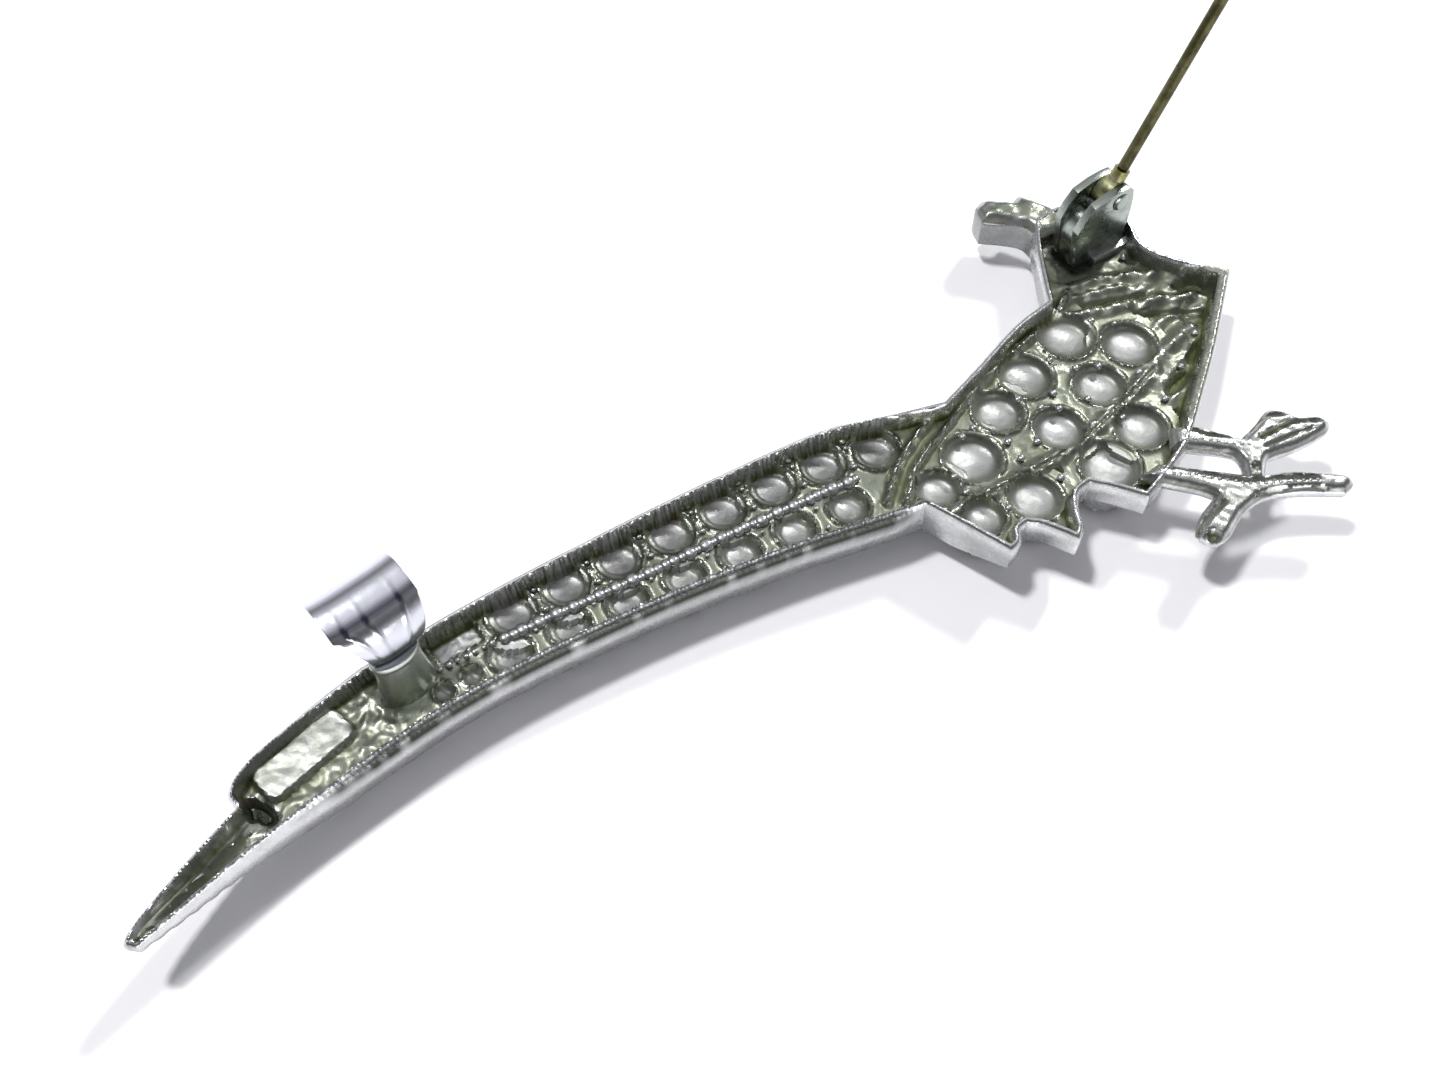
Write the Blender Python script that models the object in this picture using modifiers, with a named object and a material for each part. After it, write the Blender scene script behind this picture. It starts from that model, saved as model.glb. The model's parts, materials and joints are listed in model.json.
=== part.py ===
"""A long-tailed bird brooch, lying face down with its hollow back and its open pin upwards.

Everything is drawn in millimetres on the back of the brooch, with the tail to -X and the breast to +X,
and the finished pieces are scaled to metres at the end. Z is counted from the table that the stones lie on.
"""
import math

import bmesh
import bpy
from mathutils import Matrix, Vector

MM = 0.001

# Overall sizes of the casting, and the sizes that its outlines are drawn at.
CASTING_LENGTH = 70.5
CASTING_WIDTH = 27.9
DRAWN_LENGTH = 70.5
DRAWN_WIDTH = 27.9

# Levels and walls of the casting.
FRONT_LEVEL = 1.0
SIDE_HEIGHT = 2.9
RECESS_DEPTH = 1.4
RIM_WALL = 0.45
HEAD_HEIGHT = 2.2
LEG_THICKNESS = 1.2
FRONT_STEP = 0.7
FRONT_STEP_INSET = 0.6
FRONT_STEP_START = 13.2
TIP_RELIEF_START = -23.0
TIP_RELIEF_END = -35.0
TIP_HEIGHT = 0.6
TIP_FLOOR = 0.45
RIM_LEVEL = FRONT_LEVEL + SIDE_HEIGHT
FLOOR_LEVEL = RIM_LEVEL - RECESS_DEPTH

# Seats: a hollow in the back, a collar on the front and a stone glued in it.
PIT_DEPTH = 0.4
PIT_RIM = 0.35
COLLAR_LEVEL = 0.45
COLLAR_WALL = 0.22
SEAT_SIDES = 12
STONE_GAP = 0.03
TABLE_SHARE = 0.55
GIRDLE = 0.1
PAVILION_DEPTH = 0.75
CULET_SHARE = 0.3

# Soldered joints and running fits.
SOLDER_GAP = 0.02
PRESS_GAP = 0.015
RUNNING_GAP = 0.04

# Pin and its hinge.
STEM_DIAMETER = 0.7
STEM_OVERHANG = 4.2
STEM_POINT = 7.0
OPEN_ANGLE = 111.0
HINGE_WIDTH = 2.1
EAR_THICKNESS = 0.5
EAR_LENGTH = 4.2
EAR_HEIGHT = 5.4
EAR_BACK = 0.28
EAR_FRONT = 0.6
HINGE_BASE = 0.4
RIVET_DIAMETER = 0.8
RIVET_ABOVE_RIM = 3.1
RIVET_HEAD = 0.12
KNUCKLE_RADIUS = 1.0
KNUCKLE_NECK = 0.65
ROOT_DIAMETER = 0.5
ROOT_LENGTH = 0.6
ROOT_GAP = 0.05

# Catch: a flared post with a fan of sheet metal curled over it.
POST_HEIGHT = 3.3
POST_FOOT = 1.6
POST_NECK = 1.2
POST_FLATNESS = 0.58
POST_LEAN = 0.5
HOOK_NECK_WIDTH = 2.4
HOOK_WIDTH = 4.75
HOOK_RISE = 3.0
HOOK_REACH = 3.4
HOOK_SHEET = 0.35
CATCH_TWIST = 3.0

# Places on the drawing.
HINGE_PLACE = (30.9, 11.0)
CATCH_PLACE = (-18.0, -0.5)
STEM_PASSES_LIP_BY = 0.45

COLOURS = {
    "casting": ((0.62, 0.63, 0.58, 1.0), 0.22, 1.0),
    "plating": ((0.80, 0.81, 0.84, 1.0), 0.12, 1.0),
    "stem_wire": ((0.33, 0.31, 0.20, 1.0), 0.30, 1.0),
    "knuckle": ((0.55, 0.52, 0.30, 1.0), 0.30, 1.0),
    "stone": ((0.92, 0.94, 0.97, 1.0), 0.05, 0.0),
}

# Each run of the outline is a smooth curve, and the runs meet at corners.
BODY_OUTLINE = (
    ((-33.6, -8.5), (-26.0, -5.6), (-17.0, -3.0), (-7.9, -1.95), (2.0, -1.8), (11.2, -2.4)),
    ((11.2, -2.4), (12.4, -4.4), (13.9, -7.0)),
    ((13.9, -7.0), (14.6, -6.7), (15.0, -6.0), (15.6, -5.8)),
    ((15.6, -5.8), (16.4, -6.4), (17.6, -7.9)),
    ((17.6, -7.9), (18.2, -7.3), (18.6, -6.2), (19.2, -5.3), (20.1, -5.0)),
    ((20.1, -5.0), (21.3, -6.0), (22.5, -7.2)),
    ((22.5, -7.2), (24.6, -6.2), (26.7, -5.0)),
    ((26.7, -5.0), (29.2, -2.6), (32.3, 0.4), (36.4, 4.8)),
    ((36.4, 4.8), (34.0, 6.9), (32.8, 8.8), (33.1, 10.8), (32.2, 12.8), (29.8, 13.7), (27.8, 13.4)),
    ((27.8, 13.4), (26.7, 11.4), (25.5, 8.6), (25.0, 7.3)),
    ((25.0, 7.3), (22.1, 6.4), (18.6, 4.7), (15.6, 3.3)),
    ((15.6, 3.3), (12.8, 3.7), (8.4, 4.35), (1.7, 4.0), (-7.0, 3.1), (-14.2, 2.1), (-20.0, 0.9)),
    ((-20.0, 0.9), (-24.0, -0.5), (-26.6, -1.6), (-27.8, -2.7), (-27.7, -3.7)),
    ((-27.7, -3.7), (-30.6, -5.4), (-33.2, -7.1), (-34.1, -8.0), (-33.6, -8.5)),
)
HEAD_OUTLINE = (
    ((27.4, 12.2), (29.9, 12.4), (29.5, 13.9), (28.9, 14.8), (28.2, 15.7)),
    ((28.2, 15.7), (27.4, 15.5), (26.8, 15.9), (25.9, 16.4)),
    ((25.9, 16.4), (25.2, 16.0), (25.0, 14.9)),
    ((25.0, 14.9), (26.3, 14.1), (27.2, 13.3), (27.4, 12.2)),
)
UPPER_LEG = (
    ((25.8, -4.8), (26.6, -5.3), (28.4, -6.5), (28.7, -7.2), (28.3, -8.4)),
    ((28.3, -8.4), (29.0, -8.9), (29.6, -8.2), (30.3, -7.7), (32.2, -7.8), (34.2, -7.6), (34.8, -7.1)),
    ((34.8, -7.1), (34.4, -6.5), (33.4, -6.1), (32.9, -5.4), (32.2, -5.0), (31.2, -5.4), (29.7, -6.0)),
    ((29.7, -6.0), (28.7, -5.1), (27.6, -4.1), (26.4, -3.7)),
)
LOWER_LEG = (
    ((22.9, -5.8), (24.4, -7.0), (25.5, -7.9), (26.1, -8.6)),
    ((26.1, -8.6), (24.4, -9.5), (23.8, -10.4), (24.3, -11.2)),
    ((24.3, -11.2), (25.2, -11.0), (26.8, -10.1), (28.6, -9.8), (30.6, -10.4), (32.7, -11.4)),
    ((32.7, -11.4), (33.4, -11.1), (33.2, -10.4), (31.0, -9.1), (29.0, -8.5), (27.1, -7.3), (24.4, -5.5)),
)

# Stone rows of the tail: a curve through the row, how many stones and their diameter.
UPPER_ROW = (((-11.7, 1.3), (-5.4, 2.05), (0.6, 2.5), (7.2, 2.9), (10.8, 2.55)), 8, 2.1)
LOWER_ROW = (((-12.6, -0.95), (-6.2, -0.6), (0.4, -0.45), (7.6, -0.2)), 7, 1.7)
ROW_PIT_DIAMETERS = (2.6, 2.3)
# Small stones beside the long one: x, y, diameter.
ACCENTS = ((-14.9, -1.3, 0.9), (-16.5, -1.55, 0.9))
# Stones of the wing and breast: x, y, diameter.
BODY_STONES = (
    (25.1, 5.1, 2.8), (28.2, 3.0, 2.6), (21.3, 3.5, 2.6), (24.9, 1.1, 2.5),
    (18.5, 1.9, 2.4), (21.1, -0.6, 2.4), (15.5, -0.3, 2.8), (12.7, -1.3, 1.9),
    (25.4, -2.5, 2.5), (22.3, -4.0, 2.8), (17.3, -4.1, 2.5), (14.1, -4.0, 1.9),
)
BODY_PIT_MARGIN = 0.6
BAGUETTE_PLACE = (-15.0, 0.85)
BAGUETTE_SIZE = (2.4, 1.1)
BAGUETTE_TURN = 12.0
EYE_PLACE = (28.0, 14.3)
EYE_DIAMETER = 1.0
PLAQUE_PLACE = (-24.0, -2.0)
PLAQUE_SIZE = (5.2, 2.0)
PLAQUE_RISE = 0.35
PLAQUE_TURN = 22.0


def placed(point):
    """A point of the drawing, at the casting's own length and width."""
    return Vector((point[0] * CASTING_LENGTH / DRAWN_LENGTH, point[1] * CASTING_WIDTH / DRAWN_WIDTH))


def smooth(points, steps):
    """Points on a Catmull-Rom curve through the given ones, with the last one left out."""
    ends = [points[0] * 2 - points[1], *points, points[-1] * 2 - points[-2]]
    curve = []
    for before, start, end, after in zip(ends, ends[1:], ends[2:], ends[3:]):
        for step in range(steps):
            t = step / steps
            curve.append(
                0.5 * (2 * start + (end - before) * t
                       + (2 * before - 5 * start + 4 * end - after) * t ** 2
                       + (3 * start - before - 3 * end + after) * t ** 3)
            )
    return curve


def closed_outline(runs, steps=2):
    """The whole outline, anticlockwise."""
    return [point for run in runs for point in smooth([placed(p) for p in run], steps)]


def distance_to(outline, point):
    """How far a point is from the nearest side of an outline."""
    nearest = math.inf
    for start, end in zip(outline, outline[1:] + outline[:1]):
        side = end - start
        share = max(0.0, min(1.0, (point - start).dot(side) / max(side.length_squared, 1e-9)))
        nearest = min(nearest, (start + side * share - point).length)
    return nearest


def inset(outline, wall):
    """The outline moved inwards by a wall, without the points that land too near another side."""
    inner = []
    for before, here, after in zip(outline[-1:] + outline[:-1], outline, outline[1:] + outline[:1]):
        along = (here - before).normalized() + (after - here).normalized()
        along.normalize()
        inwards = Vector((-along.y, along.x))
        stretch = max(0.5, inwards.dot(Vector((-(here - before).y, (here - before).x)).normalized()))
        moved = here + inwards * wall / stretch
        if distance_to(outline, moved) > wall * 0.99:
            inner.append(moved)
    return inner


def spaced(points, count):
    """Evenly spaced points along the smooth curve through the given ones."""
    ends = [placed(p) for p in points]
    curve = smooth(ends, 16) + [ends[-1]]
    lengths = [0.0]
    for start, end in zip(curve, curve[1:]):
        lengths.append(lengths[-1] + (end - start).length)
    found = []
    for index in range(count):
        reach = lengths[-1] * index / (count - 1)
        step = max(i for i, length in enumerate(lengths[:-1]) if length <= reach + 1e-6)
        share = (reach - lengths[step]) / (lengths[step + 1] - lengths[step])
        found.append(curve[step].lerp(curve[step + 1], share))
    return found


# Scene, materials and basic solids

def clear_scene():
    for obj in list(bpy.data.objects):
        bpy.data.objects.remove(obj)


def collection(name, shown):
    group = bpy.data.collections.new(name)
    group.hide_render = not shown
    bpy.context.scene.collection.children.link(group)
    return group


def material(name):
    colour, roughness, metallic = COLOURS[name]
    made = bpy.data.materials.get(name) or bpy.data.materials.new(name)
    made.use_nodes = True
    shader = made.node_tree.nodes["Principled BSDF"]
    shader.inputs["Base Color"].default_value = colour
    shader.inputs["Roughness"].default_value = roughness
    shader.inputs["Metallic"].default_value = metallic
    made.diffuse_color = colour
    return made


def add_object(name, mesh, group, finish=None):
    obj = bpy.data.objects.new(name, mesh)
    group.objects.link(obj)
    if finish:
        mesh.materials.append(material(finish))
        mesh.shade_smooth()
        mesh.set_sharp_from_angle(angle=math.radians(35))
    else:
        obj.hide_render = True
        obj.display_type = "WIRE"
    return obj


def mesh_of(form):
    mesh = bpy.data.meshes.new("mesh")
    bmesh.ops.recalc_face_normals(form, faces=form.faces)
    form.to_mesh(mesh)
    form.free()
    return mesh


def slab(name, outline, bottom, top, group, finish=None):
    """A flat plate of the outline, between two levels."""
    drawn = bpy.data.curves.new(name, "CURVE")
    drawn.dimensions = "2D"
    drawn.fill_mode = "BOTH"
    drawn.extrude = (top - bottom) / 2
    spline = drawn.splines.new("POLY")
    spline.points.add(len(outline) - 1)
    for point, place in zip(spline.points, outline):
        point.co = (place[0], place[1], 0.0, 1.0)
    spline.use_cyclic_u = True
    guide = bpy.data.objects.new(name, drawn)
    bpy.context.scene.collection.objects.link(guide)
    graph = bpy.context.evaluated_depsgraph_get()
    filled = bpy.data.meshes.new_from_object(guide.evaluated_get(graph))
    bpy.data.objects.remove(guide)
    form = bmesh.new()
    form.from_mesh(filled)
    bmesh.ops.remove_doubles(form, verts=form.verts, dist=1e-4)
    bmesh.ops.translate(form, verts=form.verts, vec=(0, 0, (top + bottom) / 2))
    return add_object(name, mesh_of(form), group, finish)


def add_rod(form, place, radius, bottom, top, sides=SEAT_SIDES, turn=None):
    """Adds an upright round rod to a form, and turns it about its place if asked."""
    shift = Matrix.Translation((place[0], place[1], (bottom + top) / 2))
    bmesh.ops.create_cone(
        form, cap_ends=True, segments=sides, radius1=radius, radius2=radius,
        depth=top - bottom, matrix=shift @ (turn or Matrix.Identity(4)),
    )


def add_bar(form, place, size, turn, bottom, top):
    """Adds a rectangular bar to a form, turned in the plane of the brooch."""
    matrix = (
        Matrix.Translation((place[0], place[1], (bottom + top) / 2))
        @ Matrix.Rotation(math.radians(turn), 4, "Z")
        @ Matrix.Diagonal((size[0], size[1], top - bottom, 1.0))
    )
    bmesh.ops.create_cube(form, size=1.0, matrix=matrix)


def combine(target, other, operation, overlapping=False):
    boolean = target.modifiers.new(f"{operation.lower()} {other.name}", "BOOLEAN")
    boolean.operation = operation
    boolean.solver = "EXACT"
    boolean.use_self = overlapping
    boolean.object = other


def turned(name, profile, sides, group, finish=None):
    """A piece turned about Z: the profile is (radius, height) from its top down its outer side."""
    form = bmesh.new()
    rings = [form.verts.new((radius, 0.0, height)) for radius, height in profile]
    for start, end in zip(rings, rings[1:]):
        form.edges.new((start, end))
    mesh = bpy.data.meshes.new(name)
    form.to_mesh(mesh)
    form.free()
    obj = add_object(name, mesh, group, finish)
    screw = obj.modifiers.new("turn", "SCREW")
    screw.steps = screw.render_steps = sides
    screw.use_merge_vertices = True
    screw.merge_threshold = 1e-4
    return obj


def make_plain(obj):
    """Swaps an object's mesh for the one that its modifiers make."""
    graph = bpy.context.evaluated_depsgraph_get()
    mesh = bpy.data.meshes.new_from_object(obj.evaluated_get(graph))
    obj.modifiers.clear()
    obj.data = mesh


# Seats and stones

def seats():
    """Every round seat as (node name, place, stone diameter, pit diameter)."""
    found = []
    rows = (("tail_upper_stone", UPPER_ROW), ("tail_lower_stone", LOWER_ROW))
    for (name, (curve, count, diameter)), pit in zip(rows, ROW_PIT_DIAMETERS):
        for index, place in enumerate(spaced(curve, count), 1):
            found.append((f"{name}_{index}", place, diameter, pit))
    for index, (x, y, diameter) in enumerate(ACCENTS, 1):
        found.append((f"accent_stone_{index}", placed((x, y)), diameter, diameter + PIT_RIM))
    for index, (x, y, diameter) in enumerate(BODY_STONES, 1):
        found.append((f"body_stone_{index}", placed((x, y)), diameter, diameter + BODY_PIT_MARGIN))
    return found


def make_stone(name, place, diameter, front, group):
    """A round stone with its table down and its point in the metal."""
    radius = diameter / 2
    girdle = front
    profile = (
        (0.0, girdle + GIRDLE + PAVILION_DEPTH),
        (radius * CULET_SHARE, girdle + GIRDLE + PAVILION_DEPTH),
        (radius, girdle + GIRDLE),
        (radius, girdle),
        (radius * TABLE_SHARE, front - COLLAR_LEVEL),
        (0.0, front - COLLAR_LEVEL),
    )
    stone = turned(name, profile, SEAT_SIDES, group, "stone")
    stone.location = (place[0], place[1], 0.0)
    return stone


def seat_depth():
    return COLLAR_LEVEL + GIRDLE + PAVILION_DEPTH + STONE_GAP


def make_baguette(group):
    """The long stone: a bar with its front edges cut off."""
    form = bmesh.new()
    bottom, top = 0.0, seat_depth() - STONE_GAP
    add_bar(form, placed(BAGUETTE_PLACE), BAGUETTE_SIZE, BAGUETTE_TURN, bottom, top)
    front = [e for e in form.edges if all(v.co.z < 1e-6 for v in e.verts)]
    bmesh.ops.bevel(form, geom=front, offset=COLLAR_LEVEL * 0.7, segments=1, affect="EDGES")
    return add_object("baguette_stone", mesh_of(form), group, "stone")


# Casting

def tip_wedge(name, above, cutters):
    """What lies under a slope that rises towards the tail tip, drawn this far above the front of the casting."""
    start, end = (placed((x, 0.0)).x for x in (TIP_RELIEF_START, TIP_RELIEF_END))
    slope = (RIM_LEVEL - TIP_HEIGHT - FRONT_LEVEL) / (start - end)
    low = start + 0.3 if not above else start - 0.3
    side = ((low, -1.0), (low, FRONT_LEVEL + above + slope * (start - low)),
            (end, FRONT_LEVEL + above + slope * (start - end)), (end, -1.0))
    wedge = slab(name, side, -20.0, 20.0, cutters)
    wedge.matrix_world = Matrix.Rotation(math.radians(90), 4, "X")
    return wedge


def relieve_front(casting, body_line, cutters):
    """Steps the front in round the wing and breast, and thins the tail tip from the front."""
    step = bmesh.new()
    start, end = placed((FRONT_STEP_START, 0.0)).x, placed((DRAWN_LENGTH, 0.0)).x
    add_bar(step, ((start + end) / 2, 0.0), (end - start, 60.0), 0.0, -1.0, FRONT_LEVEL + FRONT_STEP)
    step_cutter = add_object("front_step", mesh_of(step), cutters)
    combine(step_cutter, slab("front_field", inset(body_line, FRONT_STEP_INSET), -2.0, RIM_LEVEL, cutters), "DIFFERENCE")
    combine(casting, step_cutter, "DIFFERENCE")
    combine(casting, tip_wedge("tip_relief", 0.0, cutters), "DIFFERENCE")


def make_casting(pieces, cutters):
    body_line = closed_outline(BODY_OUTLINE)
    casting = slab("body_casting", body_line, FRONT_LEVEL, RIM_LEVEL, pieces, "casting")
    relieve_front(casting, body_line, cutters)
    members = (
        slab("head", closed_outline(HEAD_OUTLINE), RIM_LEVEL - HEAD_HEIGHT, RIM_LEVEL - 0.01, cutters),
        slab("upper_leg", closed_outline(UPPER_LEG), RIM_LEVEL - LEG_THICKNESS, RIM_LEVEL - 0.02, cutters),
        slab("lower_leg", closed_outline(LOWER_LEG), RIM_LEVEL - LEG_THICKNESS, RIM_LEVEL - 0.03, cutters),
    )
    for member in members:
        combine(casting, member, "UNION")

    collars, bores, pits = bmesh.new(), bmesh.new(), bmesh.new()
    for _, place, diameter, pit in seats():
        seat = diameter / 2 + STONE_GAP
        add_rod(collars, place, seat + COLLAR_WALL, COLLAR_LEVEL, FRONT_LEVEL + 0.2)
        add_rod(bores, place, seat, 0.0, seat_depth())
        add_rod(pits, place, pit / 2, FLOOR_LEVEL - PIT_DEPTH, FLOOR_LEVEL + 0.2)
    long_place = placed(BAGUETTE_PLACE)
    for form, margin, bottom, top in (
        (collars, STONE_GAP + COLLAR_WALL, COLLAR_LEVEL, FRONT_LEVEL + 0.2),
        (bores, STONE_GAP, 0.0, seat_depth()),
        (pits, PIT_RIM / 2, FLOOR_LEVEL - PIT_DEPTH, FLOOR_LEVEL + 0.2),
    ):
        size = [side + 2 * margin for side in BAGUETTE_SIZE]
        add_bar(form, long_place, size, BAGUETTE_TURN, bottom, top)
    eye_front = RIM_LEVEL - HEAD_HEIGHT
    eye_bottom, eye_top = eye_front - 0.2, eye_front + seat_depth() - COLLAR_LEVEL
    add_rod(bores, placed(EYE_PLACE), EYE_DIAMETER / 2 + STONE_GAP, eye_bottom, eye_top)

    combine(casting, add_object("collars", mesh_of(collars), cutters), "UNION", overlapping=True)
    combine(casting, add_object("seat_bores", mesh_of(bores), cutters), "DIFFERENCE", overlapping=True)

    inner_line = inset(body_line, RIM_WALL)
    recess = slab("recess", inner_line, FLOOR_LEVEL, RIM_LEVEL + 0.5, cutters)
    combine(recess, tip_wedge("tip_floor", TIP_FLOOR, cutters), "DIFFERENCE")
    reach = slab("pit_reach", inner_line, FRONT_LEVEL, RIM_LEVEL + 0.3, cutters)
    back_pits = add_object("back_pits", mesh_of(pits), cutters)
    combine(back_pits, reach, "INTERSECT")
    plaque = bmesh.new()
    add_bar(plaque, placed(PLAQUE_PLACE), PLAQUE_SIZE, PLAQUE_TURN, FLOOR_LEVEL - 0.2, FLOOR_LEVEL + PLAQUE_RISE)
    upright = [e for e in plaque.edges if abs(e.verts[0].co.z - e.verts[1].co.z) > 0.1]
    bmesh.ops.bevel(plaque, geom=upright, offset=0.7, segments=2, affect="EDGES")
    combine(recess, add_object("plaque", mesh_of(plaque), cutters), "DIFFERENCE")
    combine(casting, recess, "DIFFERENCE")
    combine(casting, back_pits, "DIFFERENCE", overlapping=True)


# Hinge, pin and catch

def lip_reach():
    """How far the hook's lip stands across from the middle of the post's foot."""
    return POST_LEAN + HOOK_REACH


def closed_direction():
    """The flat direction from the hinge to where the unsprung stem passes, just outside the hook's lip."""
    hinge, catch = placed(HINGE_PLACE), placed(CATCH_PLACE)
    across = Vector((-(hinge - catch).y, (hinge - catch).x)).normalized()
    passing = catch + across * (lip_reach() + STEM_DIAMETER / 2 + STEM_PASSES_LIP_BY)
    return (passing - hinge).normalized()


def hinge_turn():
    """The angle of the hinge's own X axis, which points away from the catch."""
    away = -closed_direction()
    return math.atan2(away.y, away.x)


def ear_outline():
    """The side of an ear: upright at the back, leaning out to the catch at the front, with a round top."""
    back, front, foot_front = EAR_LENGTH * EAR_BACK, -EAR_LENGTH * 0.72, -EAR_LENGTH * EAR_FRONT
    shoulder = EAR_HEIGHT * 0.62
    ends = [Vector(p) for p in (
        (back, shoulder), (back * 0.75, EAR_HEIGHT * 0.93), (0.0, EAR_HEIGHT),
        (front * 0.7, EAR_HEIGHT * 0.93), (front, shoulder),
    )]
    return [Vector((foot_front, 0.0)), Vector((back, 0.0)), *smooth(ends, 2), ends[-1]]


def make_hinge(pieces, cutters):
    """The soldered bracket with its two ears, and the rivet through them."""
    foot = FLOOR_LEVEL + SOLDER_GAP
    hinge = placed(HINGE_PLACE)
    place = Matrix.Translation((hinge.x, hinge.y, foot)) @ Matrix.Rotation(hinge_turn(), 4, "Z")
    upright = Matrix.Rotation(math.radians(90), 4, "X")
    half = HINGE_WIDTH / 2
    base = bmesh.new()
    back, front = EAR_LENGTH * EAR_BACK, -EAR_LENGTH * EAR_FRONT
    bmesh.ops.create_cube(base, size=1.0, matrix=Matrix.Translation(((back + front) / 2, 0, HINGE_BASE / 2))
                          @ Matrix.Diagonal((back - front - 0.02, HINGE_WIDTH - 0.02, HINGE_BASE, 1.0)))
    bracket = add_object("hinge_bracket", mesh_of(base), pieces, "plating")
    bracket.matrix_world = place
    for name, low in (("near_ear", half - EAR_THICKNESS), ("far_ear", -half)):
        ear = slab(name, ear_outline(), low, low + EAR_THICKNESS, cutters)
        ear.matrix_world = place @ upright
        combine(bracket, ear, "UNION")
    axis_height = rivet_level() - foot
    across = place @ Matrix.Translation((0, 0, axis_height)) @ upright
    hole = bmesh.new()
    add_rod(hole, (0, 0), RIVET_DIAMETER / 2 + PRESS_GAP, -half - 1, half + 1, 16)
    drill = add_object("rivet_hole", mesh_of(hole), cutters)
    drill.matrix_world = across
    combine(bracket, drill, "DIFFERENCE")

    shank, head = RIVET_DIAMETER / 2, RIVET_DIAMETER / 2 + 0.2
    outer = half + SOLDER_GAP
    profile = ((0, outer + RIVET_HEAD), (head * 0.7, outer + RIVET_HEAD), (head, outer), (shank, outer),
               (shank, -outer), (head, -outer), (head * 0.7, -outer - RIVET_HEAD), (0, -outer - RIVET_HEAD))
    rivet = turned("hinge_rivet", profile, 16, pieces, "plating")
    rivet.matrix_world = across


def rivet_level():
    return RIM_LEVEL + RIVET_ABOVE_RIM


def channel_level():
    """The height of the closed stem inside the hook."""
    return FLOOR_LEVEL + POST_HEIGHT + HOOK_RISE * 0.4


def latch_distance():
    return (placed(CATCH_PLACE) - placed(HINGE_PLACE)).length


def closed_rise():
    """How far the closed stem points up from level, in degrees."""
    return math.degrees(math.atan2(channel_level() - rivet_level(), latch_distance()))


def make_pin(pieces, cutters):
    """The knuckle on the rivet and the stem in its socket, drawn along -X when level and then opened."""
    hinge = placed(HINGE_PLACE)
    axis = bpy.data.objects.new("pin_axis", None)
    pieces.objects.link(axis)
    opened = math.radians(closed_rise() + OPEN_ANGLE)
    axis.matrix_world = (
        Matrix.Translation((hinge.x, hinge.y, rivet_level()))
        @ Matrix.Rotation(hinge_turn(), 4, "Z")
        @ Matrix.Rotation(opened, 4, "Y")
    )
    upright = Matrix.Rotation(math.radians(90), 4, "X")
    along = Matrix.Rotation(math.radians(-90), 4, "Y")
    stem = STEM_DIAMETER / 2
    root = ROOT_DIAMETER / 2
    width = HINGE_WIDTH - 2 * EAR_THICKNESS - 2 * RUNNING_GAP
    neck_end = KNUCKLE_RADIUS + KNUCKLE_NECK
    root_end = neck_end - ROOT_LENGTH

    eye = bmesh.new()
    add_rod(eye, (0, 0), KNUCKLE_RADIUS, -width / 2, width / 2, 20)
    bmesh.ops.transform(eye, matrix=upright, verts=eye.verts)
    knuckle = add_object("pin_knuckle", mesh_of(eye), pieces, "knuckle")
    neck = bmesh.new()
    add_rod(neck, (0, 0), width / 2 - 0.01, KNUCKLE_RADIUS * 0.55, neck_end, 16)
    neck_body = add_object("knuckle_neck", mesh_of(neck), cutters)
    bore = bmesh.new()
    add_rod(bore, (0, 0), root + ROOT_GAP, root_end - ROOT_GAP, neck_end + 1, 12)
    socket_bore = add_object("socket_bore", mesh_of(bore), cutters)
    hole = bmesh.new()
    add_rod(hole, (0, 0), RIVET_DIAMETER / 2 + RUNNING_GAP, -width, width, 16)
    eye_hole = add_object("eye_hole", mesh_of(hole), cutters)
    for cutter, turn in ((neck_body, along), (socket_bore, along), (eye_hole, upright)):
        cutter.parent = axis
        cutter.matrix_local = turn
    knuckle.parent = axis
    combine(knuckle, neck_body, "UNION")
    combine(knuckle, socket_bore, "DIFFERENCE")
    combine(knuckle, eye_hole, "DIFFERENCE")

    tip = latch_distance() + STEM_OVERHANG
    shoulder = neck_end + ROOT_GAP
    profile = ((0, tip), (stem * 0.12, tip - 0.15), (stem * 0.62, tip - STEM_POINT * 0.5),
               (stem, tip - STEM_POINT), (stem, shoulder), (root, shoulder), (root, root_end), (0, root_end))
    wire = turned("pin_stem", profile, 12, pieces, "stem_wire")
    wire.parent = axis
    wire.matrix_local = along


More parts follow.
